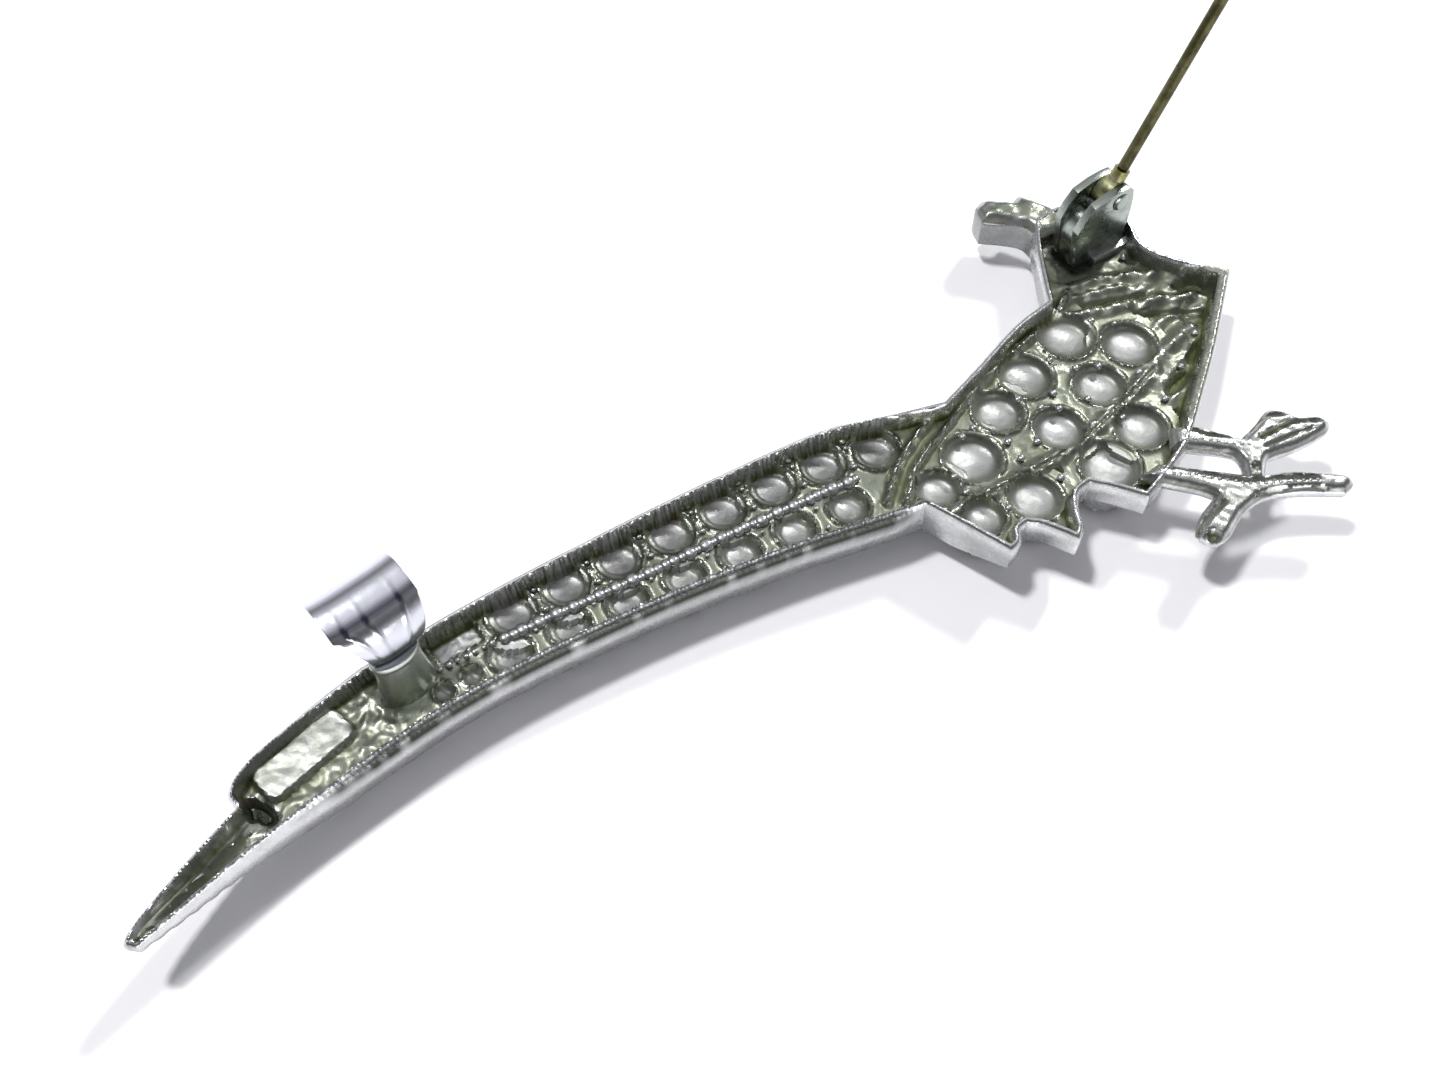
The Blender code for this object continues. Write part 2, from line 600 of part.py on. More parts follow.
def make_catch(pieces, cutters):
    """The flared post on the floor of the recess, and the sheet hook on top of it."""
    catch = placed(CATCH_PLACE)
    foot = FLOOR_LEVEL + SOLDER_GAP
    turn = hinge_turn() + math.radians(CATCH_TWIST)
    place = Matrix.Translation((catch.x, catch.y, foot)) @ Matrix.Rotation(turn, 4, "Z")
    height = POST_HEIGHT
    profile = ((0, height), (POST_NECK, height), (POST_NECK * 1.02, height * 0.6),
               (POST_NECK * 1.12, height * 0.3), (POST_FOOT, 0.0), (0, 0.0))
    lean = Matrix.Diagonal((1.0, POST_FLATNESS, 1.0, 1.0))
    lean[1][2] = POST_LEAN / height
    post = turned("catch_post", profile, 16, pieces, "plating")
    make_plain(post)
    post.data.transform(lean)
    post.matrix_world = place

    # Across and height of the sheet's middle line, from the post's top round to the lip.
    rise, reach, sheet = HOOK_RISE, HOOK_REACH, HOOK_SHEET
    start = height + SOLDER_GAP + sheet * 0.1
    line = smooth([Vector(p) for p in (
        (POST_LEAN + 0.25 * reach, start + sheet), (POST_LEAN - 0.02 * reach, start + sheet * 0.6),
        (POST_LEAN - 0.09 * reach, start + 0.22 * rise), (POST_LEAN - 0.05 * reach, start + 0.55 * rise),
        (POST_LEAN + 0.12 * reach, start + 0.85 * rise), (POST_LEAN + 0.42 * reach, start + 0.99 * rise),
        (POST_LEAN + 0.72 * reach, start + rise), (POST_LEAN + reach, start + 0.8 * rise),
        (POST_LEAN + 0.93 * reach, start + 0.62 * rise),
    )], 2)
    columns = 4
    form = bmesh.new()
    bmesh.ops.create_grid(form, x_segments=columns, y_segments=len(line) - 1, size=0.5)
    form.verts.ensure_lookup_table()
    for vert in form.verts:
        step = round((vert.co.y + 0.5) * (len(line) - 1))
        share = min(1.0, max(0.0, (line[step].y - start) / (0.8 * rise)))
        if step > len(line) / 2:
            share = 1.0
        width = HOOK_NECK_WIDTH + (HOOK_WIDTH - HOOK_NECK_WIDTH) * share ** 0.9
        vert.co = Vector((vert.co.x * width, line[step].x, line[step].y))
    hook = add_object("catch_hook", mesh_of(form), pieces, "plating")
    hook.matrix_world = place
    thick = hook.modifiers.new("sheet", "SOLIDIFY")
    thick.thickness = sheet
    thick.offset = 0.0


def finish_size(pieces, cutters):
    """Puts the origin under the middle of the whole brooch, and scales millimetres to metres."""
    bpy.context.view_layer.update()
    graph = bpy.context.evaluated_depsgraph_get()
    corners = []
    for obj in pieces.objects:
        if obj.type == "MESH":
            ready = obj.evaluated_get(graph)
            corners += [ready.matrix_world @ vert.co for vert in ready.to_mesh().vertices]
            ready.to_mesh_clear()
    low = Vector([min(c[i] for c in corners) for i in range(3)])
    high = Vector([max(c[i] for c in corners) for i in range(3)])
    shift = Matrix.Translation((-(low.x + high.x) / 2, -(low.y + high.y) / 2, -low.z))
    to_metres = Matrix.Scale(MM, 4)
    for obj in [*pieces.objects, *cutters.objects]:
        if not obj.parent:
            obj.matrix_world = to_metres @ shift @ obj.matrix_world
    bpy.context.view_layer.update()


def main():
    clear_scene()
    pieces = collection("bird_brooch", True)
    cutters = collection("cutters", False)
    make_casting(pieces, cutters)
    for name, place, diameter, _ in seats():
        make_stone(name, place, diameter, COLLAR_LEVEL, pieces)
    make_baguette(pieces)
    make_stone("eye_stone", placed(EYE_PLACE), EYE_DIAMETER, RIM_LEVEL - HEAD_HEIGHT, pieces)
    make_hinge(pieces, cutters)
    make_catch(pieces, cutters)
    make_pin(pieces, cutters)
    finish_size(pieces, cutters)


main()
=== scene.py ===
"""The looks of a long-tailed bird brooch that lies on its stones, hollow back and open pin upwards.

Shapes are drawn in millimetres on the back of the brooch, with the tail to -X and the breast to +X, and
heights are counted from the table. The drawing is laid on the frame by the casting's own box.
"""
import json
import math

import bmesh
import bpy
import numpy as np
from mathutils import Matrix, Vector, kdtree, noise
from mathutils.geometry import delaunay_2d_cdt


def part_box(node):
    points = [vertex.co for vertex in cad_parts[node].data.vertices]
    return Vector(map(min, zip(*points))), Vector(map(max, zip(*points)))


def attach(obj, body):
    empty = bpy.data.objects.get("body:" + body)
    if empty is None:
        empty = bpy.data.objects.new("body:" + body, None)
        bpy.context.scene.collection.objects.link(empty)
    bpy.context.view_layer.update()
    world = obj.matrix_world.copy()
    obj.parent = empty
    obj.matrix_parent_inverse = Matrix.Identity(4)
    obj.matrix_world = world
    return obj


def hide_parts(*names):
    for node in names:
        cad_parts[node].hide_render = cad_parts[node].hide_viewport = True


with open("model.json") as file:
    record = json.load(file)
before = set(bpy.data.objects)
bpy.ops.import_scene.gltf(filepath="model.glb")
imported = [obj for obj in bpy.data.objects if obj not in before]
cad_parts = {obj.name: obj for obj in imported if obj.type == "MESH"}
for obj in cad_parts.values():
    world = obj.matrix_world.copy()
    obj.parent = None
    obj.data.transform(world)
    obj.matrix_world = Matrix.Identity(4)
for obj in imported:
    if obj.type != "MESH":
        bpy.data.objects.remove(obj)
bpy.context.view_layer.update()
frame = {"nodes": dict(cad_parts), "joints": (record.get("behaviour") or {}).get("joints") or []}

MM = 0.001
BODY = "brooch"

# The drawing's origin, from the ends of the casting.
TAIL_REACH = 34.1
BEAK_REACH = 16.4
casting_low, casting_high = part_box("body_casting")
ORIGIN = Vector((casting_low.x / MM + TAIL_REACH, casting_high.y / MM - BEAK_REACH, 0.0))

# Levels of the casting.
COLLAR_EDGE = casting_low.z / MM
RIM = casting_high.z / MM
HOLLOW_DEPTH = 1.15
FLOOR = RIM - HOLLOW_DEPTH
FRONT = COLLAR_EDGE + 0.55
SEAT_FRONT = FRONT + 0.32
TIP_SLOPE_START = -23.0
TIP_SLOPE = 0.19
TIP_WALL = 0.55
LEG_THICKNESS = 1.2
HEAD_HEIGHT = 2.8

# Spacing of the mesh points.
BACK_GRAIN = 0.13
FRONT_GRAIN = 0.3
EDGE_STEP = 0.11
EDGE_RINGS = (0.05, 0.12, 0.19, 0.26, 0.33, 0.4, 0.48, 0.56, 0.65, 0.74, 0.84)

# The two solder places: the hinge on the neck and the catch on the tail.
HINGE_PLACE = Vector((30.9, 11.0))
HINGE_TURN = math.radians(7.889)
CATCH_PLACE = Vector((-18.0, -0.5))
CATCH_TURN = HINGE_TURN + math.radians(7.0)

BODY_OUTLINE = (
    ((-33.6, -8.5), (-26.0, -5.6), (-17.0, -3.0), (-7.9, -1.95), (2.0, -1.8), (11.2, -2.4)),
    ((11.2, -2.4), (12.4, -4.4), (13.9, -7.0)),
    ((13.9, -7.0), (14.6, -6.7), (15.0, -6.0), (15.6, -5.8)),
    ((15.6, -5.8), (16.4, -6.4), (17.6, -7.9)),
    ((17.6, -7.9), (18.2, -7.3), (18.6, -6.2), (19.2, -5.3), (20.1, -5.0)),
    ((20.1, -5.0), (21.3, -6.0), (22.5, -7.2)),
    ((22.5, -7.2), (24.6, -6.2), (26.7, -5.0)),
    ((26.7, -5.0), (29.2, -2.6), (32.3, 0.4), (36.4, 4.8)),
    ((36.4, 4.8), (34.0, 6.9), (32.8, 8.8), (33.1, 10.8), (32.2, 12.8), (29.8, 13.7), (27.8, 13.4)),
    ((27.8, 13.4), (26.7, 11.4), (25.5, 8.6), (25.0, 7.3)),
    ((25.0, 7.3), (22.1, 6.4), (18.6, 4.7), (15.6, 3.3)),
    ((15.6, 3.3), (12.8, 3.7), (8.4, 4.35), (1.7, 4.0), (-7.0, 3.1), (-14.2, 2.1), (-20.0, 0.9)),
    ((-20.0, 0.9), (-24.0, -0.5), (-26.6, -1.6), (-27.8, -2.7), (-27.7, -3.7)),
    ((-27.7, -3.7), (-30.6, -5.4), (-33.2, -7.1), (-34.1, -8.0), (-33.6, -8.5)),
)
HEAD_OUTLINE = (
    ((27.4, 12.2), (29.9, 12.4), (29.5, 13.9), (28.9, 14.8), (28.2, 15.7)),
    ((28.2, 15.7), (27.4, 15.5), (26.8, 15.9), (25.9, 16.4)),
    ((25.9, 16.4), (25.2, 16.0), (25.0, 14.9)),
    ((25.0, 14.9), (26.3, 14.1), (27.2, 13.3), (27.4, 12.2)),
)
UPPER_LEG = (
    ((25.8, -4.8), (26.6, -5.3), (28.4, -6.5), (28.7, -7.2), (28.3, -8.4)),
    ((28.3, -8.4), (29.0, -8.9), (29.6, -8.2), (30.3, -7.7), (32.2, -7.8), (34.2, -7.6),
     (34.8, -7.1)),
    ((34.8, -7.1), (34.4, -6.5), (33.4, -6.1), (32.9, -5.4), (32.2, -5.0), (31.2, -5.4), (29.7, -6.0)),
    ((29.7, -6.0), (28.7, -5.1), (27.6, -4.1), (26.4, -3.7)),
)
LOWER_LEG = (
    ((22.9, -5.8), (24.4, -7.0), (25.5, -7.9), (26.1, -8.6)),
    ((26.1, -8.6), (24.4, -9.5), (23.8, -10.4), (24.3, -11.2)),
    ((24.3, -11.2), (25.2, -11.0), (26.8, -10.1), (28.6, -9.8), (30.6, -10.4), (32.7, -11.4)),
    ((32.7, -11.4), (33.4, -11.1), (33.2, -10.4), (31.0, -9.1), (29.0, -8.5), (27.1, -7.3), (24.4, -5.5)),
)

# Raised lines of the hollow back: points, half width, height.
RIDGES = (
    (((9.7, -0.9), (11.3, 0.9), (13.4, 2.4), (15.4, 3.4)), 0.22, 0.42),
    (((10.7, -1.3), (12.5, 0.6), (15.5, 2.3), (18.5, 4.0), (21.6, 5.3), (24.9, 6.5), (27.2, 8.1)),
     0.24, 0.42),
    (((12.8, -3.0), (17.0, -2.6), (20.0, -2.25), (23.5, -1.3), (27.0, 0.1), (30.0, 1.5), (32.6, 2.5)),
     0.4, 0.3),
    (((26.6, 6.2), (29.5, 5.7), (32.0, 5.1), (34.6, 4.2)), 0.35, 0.28),
    (((27.4, 8.2), (29.5, 8.0), (32.4, 7.2), (34.4, 6.2)), 0.35, 0.28),
    (((26.0, 7.4), (28.6, 7.35), (31.0, 6.8)), 0.25, 0.2),
    (((-13.0, 0.0), (-9.5, 0.2), (-5.0, 0.42), (0.0, 0.8), (5.0, 1.07), (9.0, 1.2)), 0.34, 0.1),
    (((-33.4, -7.95), (-31.5, -6.9), (-29.6, -5.85), (-27.9, -5.1)), 0.2, 0.5),
)
# Cut lines of the hollow back: points, half width, depth.
GROOVES = (
    (((26.8, 6.75), (29.0, 6.4), (31.6, 5.85)), 0.17, 0.3),
    (((27.6, 5.2), (30.0, 4.75), (32.4, 3.9), (34.5, 2.9)), 0.17, 0.3),
    (((14.5, -2.95), (20.5, -2.2), (25.0, -0.75), (29.0, 1.0)), 0.1, 0.14),
    (((12.0, -0.45), (15.0, 1.75), (18.3, 3.5)), 0.2, 0.2),
)
# The seam between the two rows of the tail, on the front.
FRONT_SEAM = ((-13.5, 0.0), (-5, 0.45), (2, 0.85), (9.0, 1.1))
# Slanted hollows between the barbs of the wing: middle, long and short half size, turn in degrees, depth.
BARB_HOLLOWS = (
    ((34.3, 5.3), 1.2, 0.45, -25.0, 0.35),
    ((33.4, 2.9), 1.3, 0.4, -22.0, 0.4),
    ((31.7, 0.9), 1.2, 0.42, 28.0, 0.4),
    ((29.3, -0.65), 1.2, 0.42, 24.0, 0.4),
    ((27.4, -2.75), 1.1, 0.45, 26.0, 0.4),
    ((24.3, -4.9), 1.1, 0.4, 30.0, 0.3),
    ((19.2, -3.2), 0.7, 0.4, 10.0, 0.35),
    ((16.6, 2.1), 0.5, 0.55, 0.0, 0.35),
)
BARB_MIDDLE = (26.0, 0.0)
BARB_TURN = 22.0
BARB_GAP = 1.25
FRONT_BARB_GAP = 0.8
LEAF_RIDGE_START = (-33.4, -7.95)

PLAQUE_PLACE = (-24.0, -2.0)
PLAQUE_SIZE = (5.4, 2.1)
PLAQUE_TURN = 22.0
PLAQUE_RISE = 0.4
PLAQUE_CORNER = 0.6
PIT_PLACE = (-26.9, -3.9)
PIT_SIZE = (0.45, 1.0)
PIT_TURN = 35.0
PIT_DEPTH = 0.75

BAGUETTE_TURN = 12.0

FLOOR_DROP = 0.02
PANEL_DISTANCE = 0.6
CAMERA_DISTANCE = 78.0
CAMERA_ELEVATION = 58.0
CAMERA_YAW = -25.0
CAMERA_LENS = 36.12


# Lines, distances and soft steps

def path(points, steps=8):
    """A smooth curve through the given points, as rows of x and y, without its last point."""
    p = np.array(points, float)
    ends = np.vstack([2 * p[0] - p[1], p, 2 * p[-1] - p[-2]])
    share = np.arange(steps)[:, None] / steps
    pieces = []
    for a, b, c, d in zip(ends, ends[1:], ends[2:], ends[3:]):
        pieces.append(0.5 * (2 * b + (c - a) * share + (2 * a - 5 * b + 4 * c - d) * share ** 2
                             + (3 * b - a - 3 * c + d) * share ** 3))
    return np.vstack(pieces)


def even(line, gap, closed=False):
    """The line with its points spread evenly."""
    if closed:
        line = np.vstack([line, line[:1]])
    reach = np.concatenate([[0.0], np.cumsum(np.linalg.norm(np.diff(line, axis=0), axis=1))])
    count = max(2, round(reach[-1] / gap))
    stops = np.linspace(0, reach[-1], count + 1)
    if closed:
        stops = stops[:-1]
    return np.column_stack([np.interp(stops, reach, line[:, i]) for i in range(2)])


class Guide:
    """A line that answers how far points are from it, and how far along it they lie."""

    def __init__(self, line, closed=False, gap=0.03):
        self.line = even(np.asarray(line, float), gap, closed)
        self.gap = gap
        self.tree = kdtree.KDTree(len(self.line))
        for index, point in enumerate(self.line):
            self.tree.insert((point[0], point[1], 0.0), index)
        self.tree.balance()

    def measure(self, points):
        found = [self.tree.find((x, y, 0.0)) for x, y in points]
        return np.array([hit[2] for hit in found]), np.array([hit[1] for hit in found]) * self.gap


def line_gap(drawn, points):
    """How far points are from a smooth line through the drawn ones."""
    return Guide(path(drawn)).measure(points)[0]


def step(low, high, value):
    """0 below low, 1 above high and a soft rise between."""
    t = np.clip((value - low) / (high - low), 0, 1)
    return t * t * (3 - 2 * t)


def hump(distance, half_width):
    """A rounded rise across a line: 1 on it, 0 from twice its half width."""
    return 1 - step(0, 2 * half_width, np.abs(distance))


def grain(points, size, seed=0.0):
    """Soft noise over the drawing, from about -1 to 1."""
    return np.array([noise.noise((x / size, y / size, seed)) for x, y in points])


def turned_offsets(points, middle, turn):
    """Points seen from a middle, along and across a turned axis."""
    away = points - np.array(middle)
    c, s = math.cos(math.radians(turn)), math.sin(math.radians(turn))
    return away[:, 0] * c + away[:, 1] * s, away[:, 1] * c - away[:, 0] * s


def corners(runs):
    """The whole outline, anticlockwise, with its corners kept."""
    rows = []
    for run, following in zip(runs, runs[1:] + runs[:1]):
        drawn = even(np.vstack([path(run), run[-1:]]), EDGE_STEP)
        rows.append(drawn[:-1] if run[-1] == following[0] else drawn)
    return np.vstack(rows)


def outward(line):
    """Outward directions of a closed anticlockwise line."""
    along = np.roll(line, -1, axis=0) - np.roll(line, 1, axis=0)
    along /= np.linalg.norm(along, axis=1, keepdims=True)
    return np.column_stack([along[:, 1], -along[:, 0]])


# Seats, read from the stones of the frame

def seat_list():
    """Every round seat: name, place on the drawing, stone diameter."""
    found = []
    for name in sorted(frame["nodes"]):
        if "stone" in name and name != "baguette_stone":
            low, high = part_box(name)
            middle = (low + high) / 2 / MM - ORIGIN
            found.append((name, np.array(middle[:2]), (high.x - low.x) / MM))
    return found


SEATS = seat_list()
baguette_low, baguette_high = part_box("baguette_stone")
BAGUETTE_PLACE = np.array(((baguette_low + baguette_high) / 2 / MM - ORIGIN)[:2])
BAGUETTE_HALF = (1.2, 0.55)


def cup_radius(name, diameter):
    """Half the width of the hollow behind a stone."""
    margin = {"tail_upper": 0.33, "tail_lower": 0.33, "body_stone": 0.3, "accent_sto": 0.12}
    return diameter / 2 + margin.get(name[:10], 0.2)


# Relief of the casting

def rim_width(points):
    """The thickness of the raised edge: thin on the tail, broad along the breast."""
    x, y = points.T
    breast = step(-2.6, -1.6, x - y - 31.7) * step(26.5, 28.5, x)
    return 0.16 + 0.12 * step(11.0, 14.0, x) + 0.24 * breast


def rough_floor(points, from_wall, coarse, fine):
    """The bottom of the hollow back, with its ridges, grooves and barbs."""
    x, _ = points.T
    tail = 1 - step(10.0, 13.0, x)
    floor = FLOOR + (0.09 - 0.03 * tail) * coarse + (0.035 - 0.015 * tail) * fine
    rough_end = 1 - step(-19.5, -17.0, x)
    floor += rough_end * (0.1 * grain(points, 0.5, 9.0) + 0.05)
    floor += 0.16 * (1 - step(0.05, 0.45, from_wall)) * (0.4 + 0.6 * tail)

    barbs_along, barbs_across = turned_offsets(points, BARB_MIDDLE, BARB_TURN)
    barb_zone = step(0.3, 1.4, barbs_across + 0.02 * barbs_along + 1.6 - 1.6 * step(24.0, 27.0, x))
    barb_zone *= step(25.5, 28.0, x)
    right_side = step(0.0, 1.0, (x - 26.0) * 0.72 - (points[:, 1] + 0.2) * 0.25 - 1.2)
    floor += 0.075 * np.sin(2 * math.pi * barbs_across / BARB_GAP) * np.maximum(right_side, 0.3 * barb_zone)

    for drawn, half, height in RIDGES:
        distance, reach = Guide(path(drawn)).measure(points)
        floor += (height + 0.05 * np.sin(reach / 0.16)) * hump(distance, half)
    for drawn, half, depth in GROOVES:
        floor -= depth * hump(line_gap(drawn, points), half)
    for middle, long, short, turn, depth in BARB_HOLLOWS:
        u, v = turned_offsets(points, middle, turn)
        floor -= depth * (1 - step(0.55, 1.15, np.hypot(u / long, v / short)))
    return floor


def with_cups(points, floor, fine):
    """The floor with the hollow behind each stone, and the share of clean bowl."""
    bowl = np.zeros(len(points))
    for name, place, diameter in SEATS:
        if name == "eye_stone":
            continue
        radius = cup_radius(name, diameter)
        away = points - place
        r = np.hypot(*away.T) / radius
        near = r < 1.6
        deep = 0.3 + 0.7 * step(-0.7, 0.6, (0.78 * away[:, 0] + 0.63 * away[:, 1]) / radius)
        second_step, brim = (0.1, 0.82) if name.startswith("tail") else (0.02, 0.74)
        rim_ring = 0.08 * np.exp(-((r - 1.08) * radius / 0.15) ** 2)
        cup = FLOOR + 0.08 - 0.38 * deep * (1 - step(brim, 1.0, r))
        cup -= second_step * (1 - step(0.66, 0.76, r)) + 0.14 * (1 - np.clip(r / 0.75, 0, 1) ** 2)
        cup += 0.008 * fine
        mixed = np.where(r < 1.0, cup, np.maximum(floor, FLOOR + 0.08 * (r < 1.12)) + rim_ring)
        floor = np.where(near, mixed, floor)
        bowl = np.maximum(bowl, 1 - step(0.6, 0.95, r))
    u, v = turned_offsets(points, BAGUETTE_PLACE, BAGUETTE_TURN)
    box = np.maximum(np.abs(u) - BAGUETTE_HALF[0] - 0.1, np.abs(v) - BAGUETTE_HALF[1] - 0.02)
    floor = floor * step(-0.06, 0.06, box) + (FLOOR - 0.28 + 0.05 * fine) * (1 - step(-0.06, 0.06, box))
    floor += 0.12 * np.exp(-((box - 0.14) / 0.1) ** 2)
    return floor, np.maximum(bowl, 1 - step(-0.25, 0.0, box))


def with_plaque(points, floor, coarse):
    """The floor with the blank plate near the tip and the pit beyond it, and the share of each."""
    u, v = turned_offsets(points, PLAQUE_PLACE, PLAQUE_TURN)
    plate = np.maximum(np.abs(u) - PLAQUE_SIZE[0] / 2, np.abs(v) - PLAQUE_SIZE[1] / 2)
    corner = np.hypot(np.maximum(np.abs(u) - PLAQUE_SIZE[0] / 2 + PLAQUE_CORNER, 0),
                      np.maximum(np.abs(v) - PLAQUE_SIZE[1] / 2 + PLAQUE_CORNER, 0)) - PLAQUE_CORNER
    plate = np.maximum(plate, corner)
    plate_top = FLOOR + PLAQUE_RISE + 0.022 * grain(points, 0.42, 2.0) + 0.03 * coarse
    on_plate = 1 - step(-0.12, 0.1, plate)
    u, v = turned_offsets(points, PIT_PLACE, PIT_TURN)
    pit = 1 - step(0.5, 1.2, np.hypot(u / PIT_SIZE[0], v / PIT_SIZE[1]))
    return floor * (1 - on_plate) + plate_top * on_plate - PIT_DEPTH * pit, on_plate, pit


def edge_top(points, gap, along, broad):
    """The top of the raised edge: rounded outside, fluted along the near side of the tail."""
    x, y = points.T
    serrate = 0.04 * np.sin(2 * math.pi * along / 0.24) * (1 - step(9.0, 11.0, x)) * (y < 0.012 * x)
    top = RIM - 0.16 * (1 - np.clip(gap / 0.16, 0, 1)) ** 2 - 0.09 * broad * np.clip(gap / 0.5, 0, 1)
    return top + serrate * step(0, 0.1, gap)


def back_relief(points, edge):
    """Height of the hollow back, and shares: clean bowls, inside of the raised edge, and painted shade in
    the dark corners.
    """
    x, y = points.T
    gap, along = edge.measure(points)
    wall = rim_width(points)
    flute = 0.04 * np.sin(2 * math.pi * x / 0.27) * (1 - step(10.0, 13.0, x)) * step(-24.0, -20.0, x)
    inside = step(wall, wall + 0.28, gap + flute)

    coarse = grain(points, 0.9)
    fine = grain(points, 0.33, 4.0)
    floor = rough_floor(points, gap - wall, coarse, fine)
    floor, bowl = with_cups(points, floor, fine)
    floor, on_plate, pit = with_plaque(points, floor, coarse)

    leaf = 1 - step(-28.0, -26.8, x)
    floor = np.maximum(floor, front_base(points) + TIP_WALL * 0.75)
    far_side = np.maximum(0, turned_offsets(points, LEAF_RIDGE_START, 27.0)[1])
    floor += leaf * 0.25 * (1 - step(0.0, 0.9, far_side)) * step(0.02, 0.05, far_side)
    bowl = np.maximum(np.maximum(bowl, 0.45 * on_plate), 0.5 * leaf)

    broad = step(0.3, 0.45, wall)
    top = edge_top(points, gap, along, broad) + 0.02 * fine
    height = top * (1 - inside) + np.minimum(floor, RIM - 0.15) * inside
    # Painted shade: near-black patches round the foot of the hinge bracket, in the pit near the tip and on
    # the far inner wall of the breast.
    u, v = turned_offsets(points, HINGE_PLACE, 7.9)
    beside = np.hypot(np.maximum(np.abs(u + 1.2) - 1.4, 0), np.maximum(np.abs(v + 0.2) - 1.0, 0))
    shade_under_hinge = 0.9 * (1 - step(0.25, 0.8, beside))
    far_wall_shade = (1 - step(0.1, 0.5, gap - wall)) * inside * step(29.0, 31.0, x) * step(3.8, 5.2, y)
    black = np.maximum(np.maximum(shade_under_hinge, 0.95 * pit) * inside, 0.8 * far_wall_shade)
    return height, bowl * inside, np.maximum(inside, 0.8 * broad), black


def front_base(points):
    """The front surface without its edge rounding: flat, and rising towards the tip of the tail."""
    return FRONT + TIP_SLOPE * np.maximum(0, TIP_SLOPE_START - points[:, 0])


def front_relief(points, edge):
    x, y = points.T
    gap, _ = edge.measure(points)
    wing = step(12.0, 14.5, x)
    height = front_base(points) + (0.2 + 0.95 * wing) * (1 - np.clip(gap / (0.5 + 0.6 * wing), 0, 1)) ** 2
    height = height - 0.12 * hump(line_gap(FRONT_SEAM, points), 0.2)
    across = turned_offsets(points, BARB_MIDDLE, BARB_TURN)[1]
    height += 0.08 * np.sin(2 * math.pi * across / FRONT_BARB_GAP) * wing * step(0.5, 1.2, gap)
    height += 0.06 * np.sin(2 * math.pi * (y - 0.4 * np.abs(x + 28)) / 0.7) * (1 - step(-21.0, -19.0, x))
    for name, place, diameter in SEATS:
        if name != "eye_stone":
            r = np.hypot(*(points - place).T)
            height = np.where(r < diameter / 2 + 0.05, SEAT_FRONT, height)
    u, v = turned_offsets(points, BAGUETTE_PLACE, BAGUETTE_TURN)
    inside = (np.abs(u) < BAGUETTE_HALF[0] + 0.05) & (np.abs(v) < BAGUETTE_HALF[1] + 0.05)
    return np.where(inside, SEAT_FRONT, height)


# Meshes

# Marks of the cast pieces; the last one holds painted shade.
CAST_MARKS = ("hollow", "bowl", "inner", "black")


def within(line, points):
    """True for the points inside a closed line."""
    x, y = points.T
    odd = np.zeros(len(points), bool)
    for (ax, ay), (bx, by) in zip(line, np.roll(line, -1, axis=0)):
        if ay != by:
            odd ^= ((ay > y) != (by > y)) & (x < ax + (y - ay) * (bx - ax) / (by - ay))
    return odd


def filled(line, edge, spacing, rings):
    """Points and triangles that fill a closed line, with extra rows of points near it."""
    rows = [line]
    out = outward(line)
    for depth in rings:
        moved = line - out * depth
        moved = moved[within(line, moved)]
        rows.append(moved[edge.measure(moved)[0] > depth * 0.96])
    low, high = line.min(0), line.max(0)
    height = spacing * math.sqrt(3) / 2
    nx, ny = int((high[0] - low[0]) / spacing) + 1, int((high[1] - low[1]) / height) + 1
    column, row = np.meshgrid(np.arange(nx), np.arange(ny))
    grid = np.column_stack([(low[0] + (column + 0.5 * (row % 2)) * spacing).ravel(),
                            (low[1] + row * height).ravel()])
    grid = grid[within(line, grid)]
    rows.append(grid[edge.measure(grid)[0] > rings[-1] + spacing * 0.6])
    points = np.vstack(rows)
    count = len(line)
    sides = [(i, (i + 1) % count) for i in range(count)]
    flat, _, faces, *_ = delaunay_2d_cdt([Vector(p) for p in points], sides, [], 1, 1e-5)
    return np.array([tuple(v) for v in flat]), faces, count


def shell(name, runs, back, front, skirt, spacing=BACK_GRAIN, rings=EDGE_RINGS):
    """A closed cast piece: a back and a front relief over one outline, joined by a shaped side wall."""
    line = corners(runs)
    edge = Guide(line, closed=True)
    flat, faces, count = filled(line, edge, spacing, rings)
    heights, *layers = back(flat, edge)
    hollows = hollowness(heights, faces)
    form = bmesh.new()
    marks = [form.verts.layers.float.new(label) for label in CAST_MARKS]
    upper = [form.verts.new((x, y, z)) for (x, y), z in zip(flat, heights)]
    for vert, *values in zip(upper, hollows, *layers):
        for mark, value in zip(marks, values):
            vert[mark] = value
    for face in faces:
        form.faces.new([upper[i] for i in face])

    lower_flat, lower_faces, _ = filled(line, edge, FRONT_GRAIN, (0.15, 0.4))
    lower_heights = front(lower_flat, edge)
    lower = [form.verts.new((x, y, z)) for (x, y), z in zip(lower_flat, lower_heights)]
    for face in lower_faces:
        form.faces.new([lower[i] for i in reversed(face)])

    out = outward(line)
    previous = upper[:count]
    rows = skirt(line, heights[:count], lower_heights[:count])
    # Each row of the side wall carries its share of painted shade.
    for offset, level, painted_wall_shade in rows:
        places = line + out * offset[:, None]
        current = [form.verts.new((x, y, z)) for (x, y), z in zip(places, level)]
        for vert, shade_value in zip(current, painted_wall_shade):
            vert[marks[-1]] = shade_value
        bridge(form, previous, current)
        previous = current
    bridge(form, previous, lower[:count])
    bmesh.ops.remove_doubles(form, verts=form.verts, dist=1e-5)
    return finished(name, form)


def new_object(name, data):
    obj = bpy.data.objects.new(name, data)
    bpy.context.scene.collection.objects.link(obj)
    return obj


def settled(obj):
    """The object with its modifiers worked into its mesh."""
    graph = bpy.context.evaluated_depsgraph_get()
    plain = bpy.data.meshes.new_from_object(obj.evaluated_get(graph))
    obj.modifiers.clear()
    obj.data = plain
    return obj


